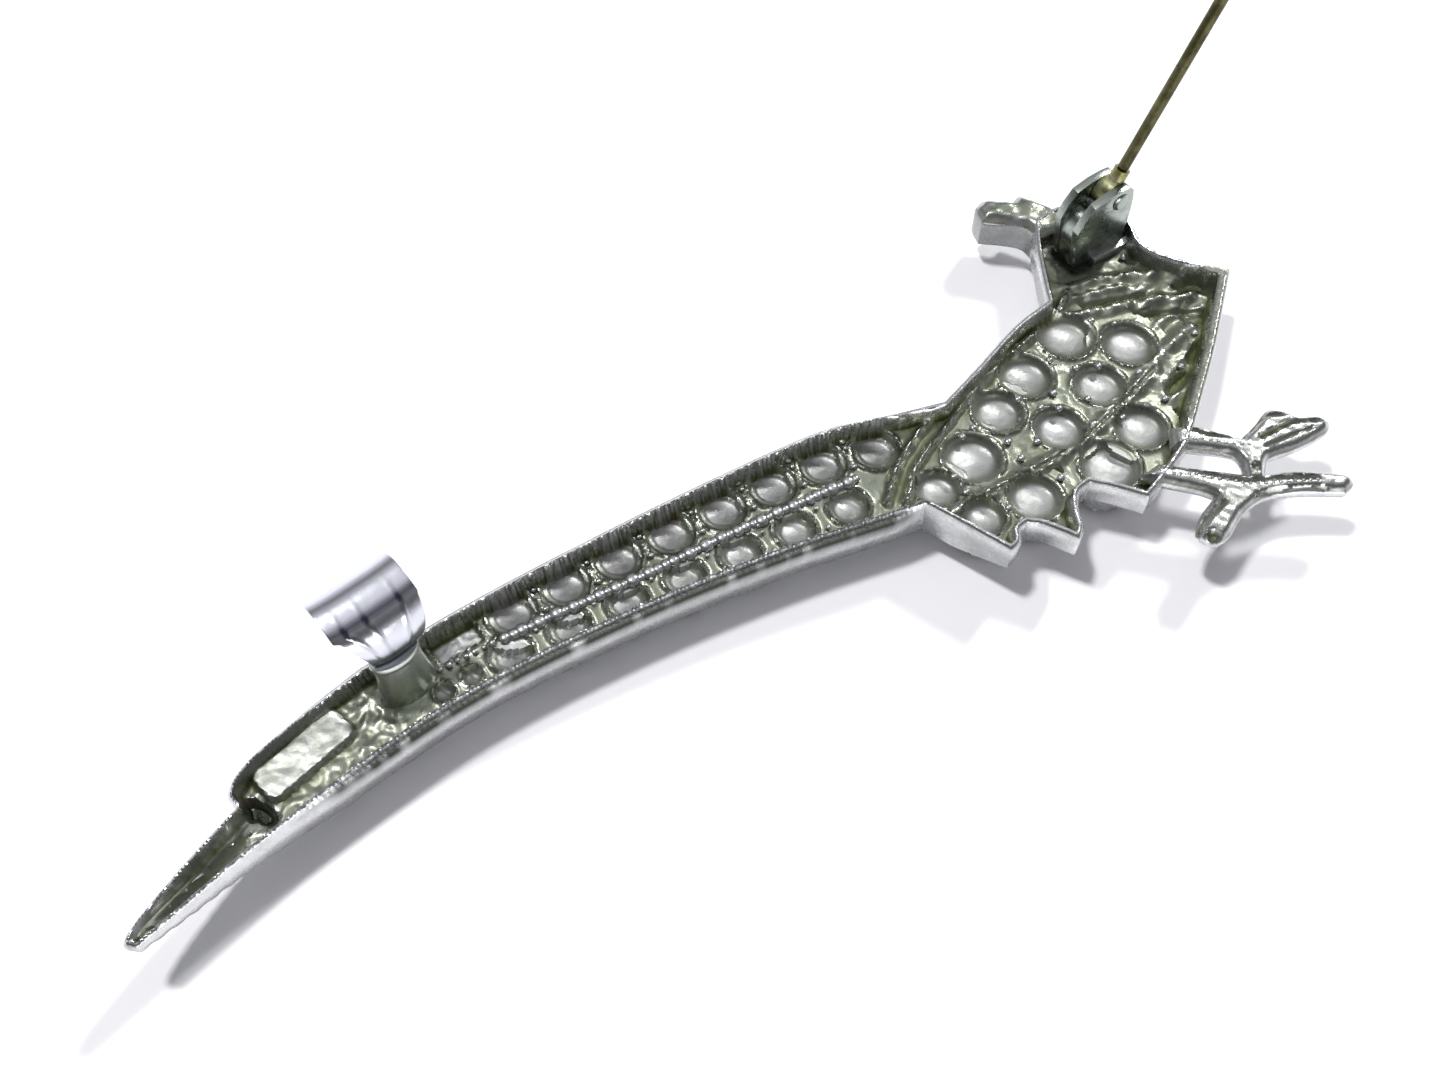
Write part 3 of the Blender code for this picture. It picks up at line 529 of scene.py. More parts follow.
def add_bevel(obj, width, segments, angle):
    """Rounds the edges that turn by more than the angle, with a width in millimetres."""
    bevel = obj.modifiers.new("round", "BEVEL")
    bevel.width = width * MM
    bevel.segments = segments
    bevel.limit_method = "ANGLE"
    bevel.angle_limit = math.radians(angle)


def bridge(form, upper, lower):
    """Joins two closed rows of as many points by a band of faces."""
    for i in range(len(upper)):
        j = (i + 1) % len(upper)
        form.faces.new((upper[j], upper[i], lower[i], lower[j]))


def finished(name, form, smooth_angle=40.0):
    """Puts a drawn form in place on the frame as an object of its own."""
    bmesh.ops.transform(form, matrix=Matrix.Scale(MM, 4) @ Matrix.Translation(ORIGIN), verts=form.verts)
    bmesh.ops.recalc_face_normals(form, faces=form.faces)
    mesh = bpy.data.meshes.new(name)
    form.to_mesh(mesh)
    form.free()
    mesh.shade_smooth()
    if smooth_angle:
        mesh.set_sharp_from_angle(angle=math.radians(smooth_angle))
    return new_object(name, mesh)


def hollowness(heights, faces, rounds=26):
    """How far each point lies below the ones round it."""
    pairs = np.array([(face[i], face[(i + 1) % 3]) for face in faces for i in range(3)])
    a, b = pairs.T
    count = len(heights)
    shared = np.bincount(a, minlength=count) + np.bincount(b, minlength=count)
    soft = heights.copy()
    for _ in range(rounds):
        total = np.bincount(a, soft[b], count) + np.bincount(b, soft[a], count)
        soft = 0.5 * soft + 0.5 * total / np.maximum(shared, 1)
    return soft - heights


def tail_share(line):
    """1 on the outer sides of the tail, 0 on the leaf end and on the wing."""
    return step(-27.0, -20.0, line[:, 0]) * (1 - step(9.0, 11.5, line[:, 0]))


def casting_skirt(line, top, bottom):
    """Rows of the body's side wall, from its top: offset outwards, level, painted shade. The tail has a
    shoulder, painted dark as shade; the wing's wall has patchy painted shade.
    """
    tail = tail_share(line)
    wave = (0.04 + 0.14 * tail) * grain(line, 3.1, 7.0) + 0.03 * grain(line, 0.8, 3.0)
    shoulder = 0.08 + 0.26 * tail
    middle = (top + bottom) / 2
    foot = bottom + 0.12 + wave
    # Painted shade: a patchy dark band on the shoulder of the tail's sides.
    dark = np.clip(tail * (1.05 + 0.8 * grain(line, 0.9, 2.0)), 0, 1)
    # Painted shade: patchy darkening of the wing's side wall.
    side = np.clip(0.25 + 0.9 * grain(line, 2.6, 8.0), 0, 0.7) * step(11.0, 13.0, line[:, 0])
    return (
        (0.2 * shoulder, top - 0.05, 0.7 * dark),
        (0.6 * shoulder, top - 0.08 - 0.45 * shoulder, dark),
        (shoulder, top - 0.1 - 0.95 * shoulder, dark),
        (shoulder * 1.1, np.minimum(middle, top - 0.16 - 1.25 * shoulder), side),
        (shoulder * 0.95, np.minimum(foot + 0.12, middle), side),
        (shoulder * 0.7, np.minimum(foot - 0.02, middle - 0.03), side),
        (0.1 * shoulder, np.minimum(foot - 0.2 + 0.05, middle - 0.1), side),
    )


def plain_skirt(line, top, bottom, painted_wall_shade=0.0):
    """Rows of a plain side wall with rounded edges, evenly darkened by a share of painted shade."""
    round_off = np.full(len(line), 0.07)
    painted_wall_shade = np.full(len(line), painted_wall_shade)
    return (
        (round_off, top - 0.09, painted_wall_shade),
        (round_off * 1.3, top - 0.3, painted_wall_shade),
        (round_off, bottom + 0.22, painted_wall_shade),
        (round_off * 0.3, bottom + 0.06, painted_wall_shade),
    )


def head_skirt(line, top, bottom):
    # The head's side wall is darkened by painted shade.
    return plain_skirt(line, top, bottom, 0.55)


LEG_GROOVES = (
    (((24.0, -5.6), (25.2, -6.3), (26.4, -7.3), (28.0, -8.5), (29.9, -9.2), (32.0, -10.2)), 0.11, 0.3),
    (((27.2, -4.2), (28.2, -5.2), (29.9, -6.1)), 0.11, 0.3),
    (((30.4, -5.75), (31.6, -5.35), (32.8, -5.75)), 0.1, 0.22),
    (((30.6, -6.45), (32.8, -6.35), (34.5, -6.95)), 0.12, 0.32),
    (((30.4, -7.1), (32.0, -7.1), (33.8, -7.15)), 0.08, 0.15),
    (((23.9, -10.2), (24.7, -9.7), (26.3, -9.1)), 0.12, 0.3),
    (((28.0, -9.5), (30.4, -10.1), (32.0, -10.9)), 0.08, 0.15),
)
LEG_DOT_LINES = (
    ((24.6, -6.5), (25.6, -7.0), (26.8, -7.95), (28.3, -8.95), (30.4, -9.75), (31.6, -10.2)),
    ((26.6, -4.9), (27.6, -5.3), (28.6, -6.1), (29.6, -6.6)),
)


def leg_back(points, edge):
    gap, _ = edge.measure(points)
    height = RIM - 0.02 - 0.34 * (1 - np.clip(gap / 0.4, 0, 1)) ** 2 + 0.03 * grain(points, 0.4)
    for drawn, half, depth in LEG_GROOVES:
        height -= depth * hump(line_gap(drawn, points), half)
    height -= 0.5 * (1 - step(0.15, 0.45, np.hypot(*(points - (24.35, -10.75)).T)))
    height -= 0.3 * (1 - step(0.1, 0.35, np.hypot(*(points - (29.1, -8.0)).T)))
    plain = np.zeros(len(points))
    return height, plain, 0.5 * step(0.05, 0.3, gap), plain


def leg_front(points, edge):
    gap, _ = edge.measure(points)
    return RIM - LEG_THICKNESS + 0.3 * (1 - np.clip(gap / 0.4, 0, 1)) ** 2


def head_back(points, edge):
    gap, _ = edge.measure(points)
    height = RIM - 0.04 - 0.4 * (1 - np.clip(gap / 0.55, 0, 1)) ** 2 + 0.09 * grain(points, 0.7)
    height += 0.12 * hump(np.hypot(*(points - (28.0, 14.4)).T), 0.4) - 0.1 * step(27.0, 25.2, points[:, 0])
    plain = np.zeros(len(points))
    return height, plain, step(0.1, 0.5, gap), plain


def head_front(points, edge):
    gap, _ = edge.measure(points)
    return RIM - HEAD_HEIGHT + 0.3 * (1 - np.clip(gap / 0.9, 0, 1)) ** 2


# Small repeated pieces, set out by Geometry Nodes

def setting_tree(name, across, around):
    """A tree that puts a round grain on every point, stretched by the point's own size."""
    tree = bpy.data.node_groups.new(name, "GeometryNodeTree")
    for label, kind, way in (("Geometry", "Geometry", "INPUT"), ("Grain Size", "Float", "INPUT"),
                             ("Grain Height", "Float", "INPUT"), ("Geometry", "Geometry", "OUTPUT")):
        tree.interface.new_socket(label, in_out=way, socket_type=f"NodeSocket{kind}")

    def add(kind, **values):
        """A node with its inputs set by their names."""
        node = tree.nodes.new(kind)
        for key, value in values.items():
            node.inputs[key.replace("_", " ")].default_value = value
        return node

    start, end = add("NodeGroupInput"), add("NodeGroupOutput")
    ball = add("GeometryNodeMeshUVSphere", Segments=around, Rings=across, Radius=1.0)
    size = add("GeometryNodeInputNamedAttribute", Name="grain_size")
    wide, tall = add("ShaderNodeMath"), add("ShaderNodeMath")
    wide.operation = tall.operation = "MULTIPLY"
    scale = add("ShaderNodeCombineXYZ")
    place, real = add("GeometryNodeInstanceOnPoints"), add("GeometryNodeRealizeInstances")
    soft, coat = add("GeometryNodeSetShadeSmooth"), add("GeometryNodeSetMaterial")
    coat.name = "Set Material"
    for source, target in (
        (start.outputs["Geometry"], place.inputs["Points"]),
        (ball.outputs["Mesh"], place.inputs["Instance"]),
        (size.outputs["Attribute"], wide.inputs[0]), (start.outputs["Grain Size"], wide.inputs[1]),
        (wide.outputs[0], tall.inputs[0]), (start.outputs["Grain Height"], tall.inputs[1]),
        (wide.outputs[0], scale.inputs["X"]), (wide.outputs[0], scale.inputs["Y"]),
        (tall.outputs[0], scale.inputs["Z"]),
        (scale.outputs["Vector"], place.inputs["Scale"]),
        (place.outputs["Instances"], real.inputs["Geometry"]),
        (real.outputs["Geometry"], soft.inputs["Geometry"]),
        (soft.outputs["Geometry"], coat.inputs["Geometry"]),
        (coat.outputs["Geometry"], end.inputs["Geometry"]),
    ):
        tree.links.new(source, target)
    return tree


def set_grains(name, places, sizes, height, finish, across=7, around=10):
    """Round grains of the given radii, in millimetres on the drawing, as one plain mesh."""
    mesh = bpy.data.meshes.new(name)
    mesh.from_pydata([(Vector(place) + ORIGIN) * MM for place in places], [], [])
    radii = mesh.attributes.new("grain_size", "FLOAT", "POINT")
    radii.data.foreach_set("value", [float(size) for size in sizes])
    obj = new_object(name, mesh)
    tree = setting_tree(name + "_setting", across, around)
    tree.nodes["Set Material"].inputs["Material"].default_value = finish
    setting = obj.modifiers.new("setting", "NODES")
    setting.node_group = tree
    wanted = {"Grain Size": MM, "Grain Height": height}
    for item in tree.interface.items_tree:
        if item.in_out == "INPUT" and item.name in wanted:
            setting[item.identifier] = wanted[item.name]
    return settled(obj)


def along_line(points, gap):
    """Evenly spaced places on a smooth line, with a little play."""
    places = even(np.vstack([path(points), points[-1:]]), gap)
    return places + 0.05 * np.column_stack([grain(places, 0.4, 1.0), grain(places, 0.4, 5.0)])


# Turned and lofted pieces

def round_ring(radius, count, middle=(0.0, 0.0), turn=0.0):
    """Places on a circle; a turn of 1 is the gap between two of them."""
    angles = [2 * math.pi * (i + turn) / count for i in range(count)]
    return [(middle[0] + radius * math.cos(a), middle[1] + radius * math.sin(a)) for a in angles]


def octagon(x, y, cut):
    """A rectangle of given half sizes with cut corners, in place and turned as the long stone is."""
    turn = Matrix.Rotation(math.radians(BAGUETTE_TURN), 3, "Z")
    ring = ((x, -y + cut), (x, y - cut), (x - cut, y), (-x + cut, y),
            (-x, y - cut), (-x, -y + cut), (-x + cut, -y), (x - cut, -y))
    return [(turn @ Vector((*place, 0)) + Vector((*BAGUETTE_PLACE, 0)))[:2] for place in ring]


def add_ring(form, places, level):
    return [form.verts.new((x, y, level)) for x, y in places]


def add_turned(form, profile, frame_at, sides=32):
    """Adds a closed turned shape: (radius, height) from its top to its bottom, both ends on the axis."""
    rows = []
    for radius, height in profile:
        ring = round_ring(radius, sides) if radius else [(0.0, 0.0)]
        rows.append([form.verts.new(frame_at @ Vector((x, y, height))) for x, y in ring])
    for upper, lower in zip(rows, rows[1:]):
        for i in range(sides):
            j = (i + 1) % sides
            ring = [row[k % len(row)] for row, k in ((upper, i), (lower, i), (lower, j), (upper, j))]
            ring = [vert for k, vert in enumerate(ring) if vert not in ring[:k]]
            form.faces.new(ring)


def round_profile(points, radius=0.06, cuts=3):
    """The profile with its inner corners rounded."""
    p = [Vector(q) for q in points]
    rounded = [p[0]]
    for before, corner, after in zip(p, p[1:], p[2:]):
        reach = min(radius, (corner - before).length * 0.45, (after - corner).length * 0.45)
        start = corner + (before - corner).normalized() * reach
        end = corner + (after - corner).normalized() * reach
        for i in range(cuts + 1):
            t = i / cuts
            rounded.append(start.lerp(corner, t).lerp(corner.lerp(end, t), t))
    return [tuple(q) for q in rounded] + [tuple(p[-1])]


def rounded_copy(name, node, width, segments=3):
    """A CAD node's shape with its edges rounded."""
    source = frame["nodes"][node]
    form = bmesh.new()
    form.from_mesh(source.data)
    bmesh.ops.remove_doubles(form, verts=form.verts, dist=2e-6)
    bmesh.ops.dissolve_limit(form, angle_limit=math.radians(4), verts=form.verts, edges=form.edges)
    mesh = bpy.data.meshes.new(name)
    form.to_mesh(mesh)
    form.free()
    obj = new_object(name, mesh)
    add_bevel(obj, width, segments, 30)
    mesh.shade_smooth()
    settled(obj)
    obj.data.shade_smooth()
    obj.data.set_sharp_from_angle(angle=math.radians(38))
    return obj


# Stones

GIRDLE_HEIGHT = 0.45


def add_brilliant(form, middle, diameter, low, girdle, top):
    """A round cut stone, table down: its facets are the hull of a few turned rings of points."""
    own = bmesh.new()
    radius = diameter / 2
    rings = ((0.56, low, 8, 0.5), (0.84, low + (girdle - low) * 0.55, 8, 0.0),
             (1.0, girdle, 16, 0.0), (1.0, girdle + 0.06, 16, 0.0),
             (0.6, girdle + 0.06 + (top - girdle) * 0.5, 8, 0.5), (0.1, top, 8, 0.0))
    for share, level, count, turn in rings:
        add_ring(own, round_ring(radius * share, count, middle, turn), level)
    bmesh.ops.convex_hull(own, input=own.verts)
    bmesh.ops.dissolve_limit(own, angle_limit=math.radians(1), verts=own.verts, edges=own.edges)
    part = bpy.data.meshes.new("stone")
    own.to_mesh(part)
    own.free()
    first = len(form.faces)
    form.from_mesh(part)
    form.faces.ensure_lookup_table()
    for face in form.faces[first:]:
        face.material_index = 1 if face.calc_center_median().z > girdle + 0.08 else 0
    bpy.data.meshes.remove(part)


def make_stones():
    form = bmesh.new()
    for name, place, diameter in SEATS:
        low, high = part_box(name)
        add_brilliant(form, place, diameter, low.z / MM, low.z / MM + GIRDLE_HEIGHT, high.z / MM)
    stones = finished("cut_stones", form, 0)
    stones.data.shade_flat()
    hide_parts(*(name for name, *_ in SEATS))
    return stones


def make_baguette():
    """The long stone: a step cut with its table down."""
    form = bmesh.new()
    low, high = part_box("baguette_stone")
    bottom, top = low.z / MM, high.z / MM
    levels = ((0.62, bottom), (0.82, bottom + 0.25), (1.0, bottom + GIRDLE_HEIGHT), (1.0, bottom + 0.55),
              (0.55, top))
    rows = []
    for share, level in levels:
        x, y = BAGUETTE_HALF[0] - (1 - share) * 0.5, BAGUETTE_HALF[1] * share
        rows.append(add_ring(form, octagon(x, y, y * 0.35), level))
    form.faces.new(rows[0])
    form.faces.new(rows[-1])
    for upper, lower in zip(rows, rows[1:]):
        bridge(form, upper, lower)
    for face in form.faces:
        face.material_index = 1 if face.calc_center_median().z > bottom + 0.56 else 0
    stone = finished("long_stone", form, 0)
    stone.data.shade_flat()
    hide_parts("baguette_stone")
    return stone


def make_settings():
    """The collars that hold the stones on the front."""
    form = bmesh.new()
    collars = []
    for name, place, diameter in SEATS:
        low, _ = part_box(name)
        base = low.z / MM + GIRDLE_HEIGHT
        foot = FRONT + 0.3 if name != "eye_stone" else base + 0.25
        inner, outer = diameter / 2 + 0.015, diameter / 2 + 0.22
        lip = max(COLLAR_EDGE, base - 0.02)
        profile = ((inner, foot), (inner, lip + 0.04), (inner + 0.05, lip), (outer - 0.05, lip),
                   (outer, lip + 0.08), (outer + 0.06, foot))
        collars.append([add_ring(form, round_ring(radius, 28, place), level) for radius, level in profile])
    profile = ((0.02, FRONT + 0.3), (0.02, COLLAR_EDGE), (0.2, COLLAR_EDGE), (0.24, FRONT + 0.3))
    collars.append([add_ring(form, octagon(BAGUETTE_HALF[0] + grow, BAGUETTE_HALF[1] + grow, 0.2), level)
                    for grow, level in profile])
    for rows in collars:
        for upper, lower in zip(rows, rows[1:] + rows[:1]):
            bridge(form, upper, lower)
    return finished("stone_collars", form)


def make_prongs(finish):
    """Four small grains of metal pushed over each stone's edge."""
    places, sizes = [], []
    for name, place, diameter in SEATS:
        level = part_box(name)[0].z / MM + 0.38
        reach = diameter / 2 + 0.03
        for k in range(4):
            angle = math.pi / 4 + k * math.pi / 2
            places.append((place[0] + reach * math.cos(angle), place[1] + reach * math.sin(angle), level))
            sizes.append(0.1 + 0.03 * diameter)
    return set_grains("prongs", places, sizes, 1.0, finish, 6, 8)


# Catch

# The hook's creases: where each crosses the sheet at its top and at its foot.
HOOK_CREASES = ((-0.34, -0.24), (-0.1, -0.04), (0.3, 0.2))


def standing(place, level, turn):
    """The frame of a piece that stands at a place of the drawing."""
    return Matrix.Translation((place.x, place.y, level)) @ Matrix.Rotation(turn, 4, "Z")


def make_post(finish):
    """The flared post, leaning towards the open side of the hook."""
    low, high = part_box("catch_post")
    height = (high.z - low.z) / MM
    profile = [(0, height), (1.36, height), (1.42, height * 0.93), (1.34, height * 0.88),
               (1.36, height * 0.62), (1.48, height * 0.3), (1.62, height * 0.1), (1.8, 0.03), (1.84, 0.0),
               (0, 0.0)]
    lean = Matrix.Diagonal((1.0, 0.58, 1.0, 1.0))
    lean[1][2] = 0.5 / height
    stand = standing(CATCH_PLACE, low.z / MM, CATCH_TURN) @ lean
    form = bmesh.new()
    add_turned(form, round_profile(profile), stand, 40)
    post = finished("flared_post", form)
    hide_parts("catch_post")
    return dress(post, "plating", finish)


def make_hook(finish):
    """The creased sheet fan, curled over at the top into a lip, with painted shade along its creases and
    fold and a painted dark reflection low on its face.
    """
    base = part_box("catch_post")[1].z / MM
    lean, rise, reach, sheet = 0.5, 3.0, 3.4, 0.35
    start = 0.055
    line = path([(lean + 0.25 * reach, start + sheet), (lean - 0.02 * reach, start + sheet * 0.6),
                 (lean - 0.09 * reach, start + 0.22 * rise), (lean - 0.05 * reach, start + 0.55 * rise),
                 (lean + 0.12 * reach, start + 0.85 * rise), (lean + 0.42 * reach, start + 0.99 * rise),
                 (lean + 0.72 * reach, start + rise), (lean + reach, start + 0.8 * rise),
                 (lean + 0.93 * reach, start + 0.62 * rise)], 7)
    columns = 48
    form = bmesh.new()
    # On the hook, the hollow mark holds painted shade and a painted dark reflection.
    shade = form.verts.layers.float.new("hollow")
    grid = []
    for index, (across, height) in enumerate(line):
        share = min(1.0, max(0.0, (height - start) / (0.97 * rise)))
        if index > len(line) / 2:
            share = 1.0
        left, right = 1.15 + 1.25 * share ** 1.7, 1.35 + 1.05 * share ** 0.6
        row = []
        for column in range(columns + 1):
            v = column / columns - 0.5
            crease = 0.0
            for high_v, low_v in HOOK_CREASES:
                middle = low_v + (high_v - low_v) * share
                crease += 0.09 * math.exp(-((v - middle) / 0.022) ** 2)
            face = share * (1 - step(0.55, 0.75, index / len(line)))
            dish = -0.16 * math.cos(math.pi * v) * (1 - share) + 0.1 * (abs(v) * 2) ** 3
            wide = v * 2 * (left if v < 0 else right)
            row.append(form.verts.new((wide, across - crease * face + dish, height)))
            # Painted shade along the creases and under the fold at the top, and a painted dark reflection
            # low on the fan.
            dark = 6.0 * crease * face
            dark += 0.8 * hump(height - start - 0.93 * rise, 0.08) * (index < len(line) * 0.7)
            dark += 0.75 * (1 - step(0.15, 0.6 - 0.5 * abs(v), share)) * (index < len(line) / 2)
            row[-1][shade] = min(1.0, dark)
        grid.append(row)
    for below, above in zip(grid, grid[1:]):
        for column in range(columns):
            form.faces.new((below[column], below[column + 1], above[column + 1], above[column]))
    bmesh.ops.transform(form, matrix=standing(CATCH_PLACE, base, CATCH_TURN), verts=form.verts)
    hook = finished("hook_fan", form)
    thick = hook.modifiers.new("sheet", "SOLIDIFY")
    thick.thickness = sheet * 0.75 * MM
    thick.offset = 0.0
    add_bevel(hook, 0.06, 2, 50)
    settled(hook)
    hook.data.shade_smooth()
    hook.data.set_sharp_from_angle(angle=math.radians(50))
    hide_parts("catch_hook")
    return dress(hook, "plating", finish)


# Pin

def pin_frame():
    """Where the pin turns, with Z along the opened stem."""
    joint = next(j for j in frame["joints"] if j["name"] == "pin_swing")
    pivot = Vector(joint["pos_m"]) / MM - ORIGIN
    axis = Vector(joint["axis"])
    opened = math.radians(-joint["range_deg"][0])
    side = Vector((axis.y, -axis.x, 0.0))
    along = Vector((-side.x * math.cos(opened), -side.y * math.cos(opened), math.sin(opened)))
    turn = Matrix((along.cross(axis), -axis, along)).transposed()
    return Matrix.Translation(pivot) @ turn.to_4x4()


def make_stem(finish):
    """The round wire with its long point, and its thin root inside the knuckle's neck."""
    frame_at = pin_frame()
    wire = frame["nodes"]["pin_stem"].data
    tip = max((frame_at.inverted() @ (v.co / MM - ORIGIN)).z for v in wire.vertices)
    radius = 0.35
    profile = [(0, tip), (0.03, tip - 0.1), (0.12, tip - 1.4), (0.25, tip - 4.0), (0.33, tip - 6.0),
               (radius, tip - 7.5), (radius, tip - 20), (radius, 20.0), (radius, 1.75),
               (0.3, 1.7), (0.25, 1.7), (0.25, 1.06), (0, 1.05)]
    form = bmesh.new()
    add_turned(form, profile, frame_at, 24)
    stem = finished("pin_wire", form)
    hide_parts("pin_stem")
    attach(stem, "stem")
    return dress(stem, "stem_wire", finish, ride=None)


# Finishes

class Wire:
    """A shader value that takes part in sums as a number does."""

    def __init__(self, tree, socket):
        self.tree, self.socket = tree, socket

    def maths(self, operation, *values):
        node = self.tree.nodes.new("ShaderNodeMath")
        node.operation = operation
        for slot, value in zip(node.inputs, values):
            put(self.tree, slot, value)
        return Wire(self.tree, node.outputs[0])

    def __add__(self, other):
        return self.maths("ADD", self, other)

    def __sub__(self, other):
        return self.maths("SUBTRACT", self, other)

    def __rsub__(self, other):
        return self.maths("SUBTRACT", other, self)

    def __mul__(self, other):
        return self.maths("MULTIPLY", self, other)

    def __pow__(self, other):
        return self.maths("POWER", self, other)

    __radd__, __rmul__ = __add__, __mul__

    def kept(self, low=0.0, high=1.0):
        """The value held between two limits."""
        return self.maths("MINIMUM", self.maths("MAXIMUM", self, low), high)


def put(tree, socket, value):
    """Links a wire to a socket, or sets a plain value on it."""
    if isinstance(value, Wire):
        tree.links.new(value.socket, socket)
    elif hasattr(socket, "default_value"):
        socket.default_value = value


class Nodes:
    """The nodes of one tree, under construction."""

    def __init__(self, tree):
        self.tree = tree

    def node(self, kind, settings=(), inputs=(), out=0):
        node = self.tree.nodes.new(kind)
        for key, value in dict(settings).items():
            if key == "stops":
                ramp = node.color_ramp
                while len(ramp.elements) < len(value):
                    ramp.elements.new(0.5)
                for element, (position, colour) in zip(ramp.elements, value):
                    element.position = position
                    element.color = (*colour, 1.0)
            else:
                setattr(node, key, value)
        for key, value in dict(inputs).items():
            put(self.tree, node.inputs[key], value)
        return Wire(self.tree, node.outputs[out])


class Finish(Nodes):
    """A material under construction."""

    def __init__(self, name, **settings):
        self.material = bpy.data.materials.new(name)
        self.material.use_nodes = True
        super().__init__(self.material.node_tree)
        self.shader = self.tree.nodes["Principled BSDF"]
        self.place = self.node("ShaderNodeTexCoord", out="Object")
        for socket, value in settings.items():
            self.set(socket.replace("_", " "), value)

    def set(self, socket, value):
        put(self.tree, self.shader.inputs[socket], value)

    def grain(self, size, detail=3.0, roughness=0.55, distortion=0.0):
        """Soft noise from 0 to 1, of a given grain in millimetres."""
        return self.node("ShaderNodeTexNoise", inputs={
            "Vector": self.place, "Scale": 1 / (size * MM), "Detail": detail, "Roughness": roughness,
            "Distortion": distortion})

    def mark(self, name):
        return self.node("ShaderNodeAttribute", {"attribute_name": name}, out="Fac")

    def blend(self, share, low, high):
        """A mix of two colours."""
        return self.node("ShaderNodeMix", {"data_type": "RGBA"},
                         {0: share, 6: low if isinstance(low, Wire) else (*low, 1.0),
                          7: high if isinstance(high, Wire) else (*high, 1.0)}, out=2)

    def relief(self, height, strength, depth):
        """Fine relief, its depth in millimetres."""
        self.set("Normal", self.node("ShaderNodeBump", inputs={
            "Height": height, "Strength": strength, "Distance": depth * MM}))


# Near-black colour of painted shade on the casting.
PAINTED_SHADE_COLOUR = (0.045, 0.05, 0.042)
# Dark blue of painted shade and painted reflection on the hook.
PAINTED_SHADE_BLUE = (0.045, 0.05, 0.085)


def cast_finish(name, clean, dull, dirty, spot):
    """Satin plating over a casting: clean outside, dull in the back and olive in its hollows, and near-black
    where shade is painted.
    """
    made = Finish(name)
    hollow, cup, inner, black = (made.mark(name) for name in CAST_MARKS)
    blotch = made.grain(1.6, 4.0)
    fine = made.grain(0.22, 5.0, 0.65)
    soil = (hollow * 3.6 + 0.04 + inner * 0.12) * (1 - cup * 0.8)
    soil = (soil + (blotch - 0.5) * 0.8 + (fine - 0.5) * 0.5).kept() * (1 - black)
    plate = made.blend(inner, clean, made.blend(cup * 0.8, dull, clean))
    shade = made.blend((made.grain(0.7, 3.0) * 1.8 - 0.5).kept(), plate, made.blend(0.25, plate, dirty))
    stained = made.blend(((made.grain(2.6, 2.0) - 0.58) * 6).kept() * (0.35 + hollow.kept()), dirty, spot)
    # Painted shade: the last mark of the casting darkens the colour to near-black.
    made.set("Base Color", made.blend(black, made.blend(soil, shade, stained), PAINTED_SHADE_COLOUR))
    made.set("Metallic", 1 - soil * 0.35)
    made.set("Roughness", (0.27 + cup * 0.12 + soil * 0.25 + (fine - 0.5) * 0.16).kept(0.1, 0.8))
    made.relief(made.grain(0.16, 4.0, 0.6) + blotch * 0.5, 0.35, 0.03)
    return made.material


def plate_finish(name, clean, dirty, low, high, gloss):
    """Smooth bright plating, darker towards its foot between two heights in millimetres: painted shade near
    the base, over blotches of real dirt.
    """
    made = Finish(name, Metallic=1.0)
    level = made.node("ShaderNodeSeparateXYZ", inputs={0: made.place}, out="Z") * (1 / MM)
    # Painted shade: the colour darkens towards the foot, broken up by blotches.
    foot = ((high - level) * (1 / (high - low))).kept()
    blotch = made.grain(0.9, 4.0)
    soil = (foot * 0.9 * (blotch * 1.6) + (blotch - 0.68) * 1.2).kept()
    # Painted shade and dark reflection, where the hook marks them.
    crease = made.mark("hollow").kept()
    made.set("Base Color", made.blend(crease, made.blend(soil, clean, dirty), PAINTED_SHADE_BLUE))
    made.set("Roughness", (gloss + soil * 0.35 + made.grain(0.25, 4.0) * 0.06).kept(0.05, 0.7))
    made.relief(made.grain(0.5, 3.0) + made.grain(2.4, 2.0) * 2.0, 0.16, 0.05)
    return made.material


def wire_finish(name, dark, bright, size=1.2):
    made = Finish(name, Metallic=1.0)
    patch = ((made.grain(size, 5.0, 0.65) - 0.42) * 4).kept()
    made.set("Base Color", made.blend(patch, dark, bright))
    made.set("Roughness", (0.28 + patch * 0.12 + made.grain(0.2, 3.0) * 0.15).kept(0.1, 0.7))
    made.relief(made.grain(0.15, 4.0), 0.3, 0.03)
    return made.material


def glass_finish(name):
    made = Finish(name, Base_Color=(0.97, 0.98, 1.0, 1.0), IOR=1.56, Transmission_Weight=1.0)
    made.set("Roughness", (made.grain(0.6, 3.0) * 0.06).kept(0.005, 0.1))
    return made.material


def foil_finish(name):
    made = Finish(name, Metallic=1.0)
    worn = ((made.grain(0.35, 4.0) - 0.6) * 5).kept()
    made.set("Base Color", made.blend(worn, (0.88, 0.89, 0.9), (0.45, 0.38, 0.2)))
    made.set("Roughness", (0.1 + worn * 0.3).kept())
    return made.material


def dress(obj, slot, *finishes, ride=BODY):
    """Gives a piece its finishes and the body that it rides on; its slot argument is not used."""
    obj.data.materials.clear()
    for finish in finishes:
        obj.data.materials.append(finish)
    if ride:
        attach(obj, ride)
    return obj


# The brooch

CAST = cast_finish("tarnished_casting_painted_shade", (0.72, 0.72, 0.74), (0.43, 0.46, 0.39), (0.14, 0.155, 0.07),
                   (0.22, 0.13, 0.04))
PLATE = plate_finish("bright_plate", (0.74, 0.75, 0.81), (0.20, 0.21, 0.16), 2.5, 5.2, 0.22)
